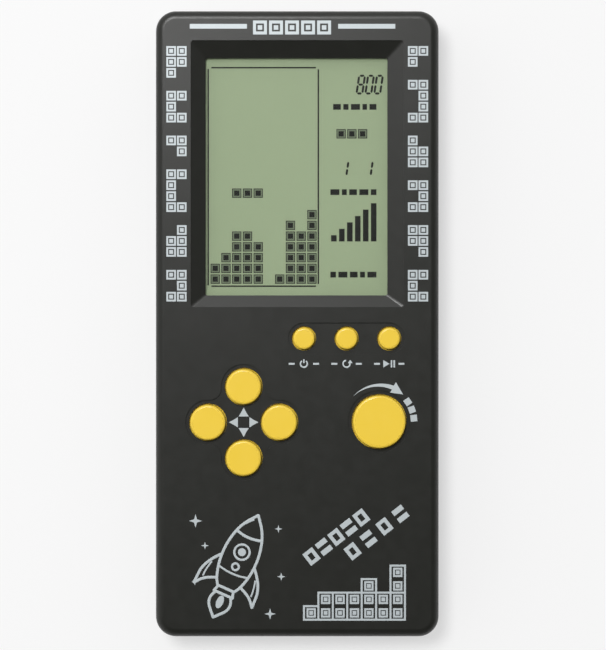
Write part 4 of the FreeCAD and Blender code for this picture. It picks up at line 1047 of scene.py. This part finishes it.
def studio_world(strength):
    """A pale room, darker overhead and lighter towards the screen end; the camera itself sees it white."""
    world = bpy.data.worlds.new("Studio")
    world.use_nodes = True
    tree = world.node_tree
    tree.nodes.clear()
    direction = add_node(tree, "ShaderNodeTexCoord").outputs["Generated"]
    darkest = {0: direction, 1: (0.25, -0.45, 0.86)}
    lean = add_node(tree, "ShaderNodeVectorMath", darkest, operation="DOT_PRODUCT").outputs["Value"]
    room = add_node(tree, "ShaderNodeMapRange", {"Value": lean}, interpolation_type="SMOOTHSTEP")
    for name, value in (("From Min", 0.1), ("From Max", 1.0), ("To Min", 0.86), ("To Max", 0.14)):
        room.inputs[name].default_value = value
    path = add_node(tree, "ShaderNodeLightPath")
    lit = add_node(tree, "ShaderNodeBackground", {"Color": room.outputs[0], "Strength": strength})
    seen = add_node(tree, "ShaderNodeBackground", {"Color": linear("FAFAFA")})
    camera = path.outputs["Is Camera Ray"]
    mix = add_node(tree, "ShaderNodeMixShader", {0: camera, 1: lit.outputs[0], 2: seen.outputs[0]})
    add_node(tree, "ShaderNodeOutputWorld", {"Surface": mix.outputs[0]})
    bpy.context.scene.world = world


def softbox(name, place, size, power):
    """A round softbox that looks at the game."""
    lamp = bpy.data.lights.new(name, "AREA")
    lamp.shape, lamp.size, lamp.energy = "DISK", size, power
    made = bpy.data.objects.new(name, lamp)
    made.location = place
    made.rotation_euler = (Vector((0, 0, 0.02)) - made.location).to_track_quat("-Z", "Y").to_euler()
    bpy.context.scene.collection.objects.link(made)
    return made


class LCDGAME_OT_stage(bpy.types.Operator):
    """Lay the paper, hang the softbox and set the camera above the game"""

    bl_idname = "lcdgame.stage"
    bl_label = "Stage"

    def execute(self, context):
        light = settings()[2]
        scene = context.scene
        bm = bmesh.new()
        bmesh.ops.create_grid(bm, x_segments=8, y_segments=8, size=3.0)
        bmesh.ops.translate(bm, vec=(0, 0, CAD_BOX[0].z), verts=bm.verts[:])
        mesh = bpy.data.meshes.new("floor")
        bm.to_mesh(mesh)
        bm.free()
        mesh.materials.append(floor_material())
        floor = bpy.data.objects.new("floor", mesh)
        scene.collection.objects.link(floor)

        key = softbox("key", (-0.14, 0.16, 0.95), 0.22, light.key_power)
        key.visible_glossy = key.visible_transmission = False
        sheen = softbox("sheen", (-0.17, 0.43, 0.88), 0.32, light.sheen_power)
        sheen.visible_diffuse = False
        studio_world(light.sky)

        data = bpy.data.cameras.new("camera")
        camera = bpy.data.objects.new("camera", data)
        data.lens = data.sensor_width * light.camera_height / light.view_length
        data.clip_start, data.clip_end = 0.01, 20
        camera.location = (light.view_x, -0.36 * MM, face_height() + light.camera_height)
        scene.collection.objects.link(camera)
        scene.camera = camera
        scene.view_settings.view_transform = "Standard"
        return {"FINISHED"}


# ---------------------------------------------------------------- panel and registration

OPERATORS = (
    LCDGAME_OT_case,
    LCDGAME_OT_buttons,
    LCDGAME_OT_lens,
    LCDGAME_OT_display,
    LCDGAME_OT_frame_print,
    LCDGAME_OT_control_print,
    LCDGAME_OT_rocket_print,
    LCDGAME_OT_stack_print,
    LCDGAME_OT_electronics,
    LCDGAME_OT_batteries,
    LCDGAME_OT_stage,
)


class LCDGAME_PT_panel(bpy.types.Panel):
    """One button for each part of the scene"""

    bl_idname = "LCDGAME_PT_panel"
    bl_label = "LCD Game"
    bl_space_type = "VIEW_3D"
    bl_region_type = "UI"
    bl_category = "LCD Game"

    def draw(self, context):
        for operator in OPERATORS:
            self.layout.operator(operator.bl_idname)
        for group in settings():
            column = self.layout.column()
            for name in group.__annotations__:
                column.prop(group, name)


GROUPS = (LCDGAME_PG_colours, LCDGAME_PG_sizes, LCDGAME_PG_light)
CLASSES = (*GROUPS, *OPERATORS, LCDGAME_PT_panel)


def register():
    for cls in CLASSES:
        bpy.utils.register_class(cls)
    bpy.types.Scene.lcdgame_colours = PointerProperty(type=LCDGAME_PG_colours)
    bpy.types.Scene.lcdgame_sizes = PointerProperty(type=LCDGAME_PG_sizes)
    bpy.types.Scene.lcdgame_light = PointerProperty(type=LCDGAME_PG_light)


def unregister():
    del bpy.types.Scene.lcdgame_colours
    del bpy.types.Scene.lcdgame_sizes
    del bpy.types.Scene.lcdgame_light
    for cls in reversed(CLASSES):
        bpy.utils.unregister_class(cls)


def main():
    register()
    bpy.ops.lcdgame.case()
    bpy.ops.lcdgame.buttons()
    bpy.ops.lcdgame.lens()
    bpy.ops.lcdgame.display()
    bpy.ops.lcdgame.frame_print()
    bpy.ops.lcdgame.control_print()
    bpy.ops.lcdgame.rocket_print()
    bpy.ops.lcdgame.stack_print()
    bpy.ops.lcdgame.electronics()
    bpy.ops.lcdgame.batteries()
    bpy.ops.lcdgame.stage()


if __name__ == "__main__":
    main()
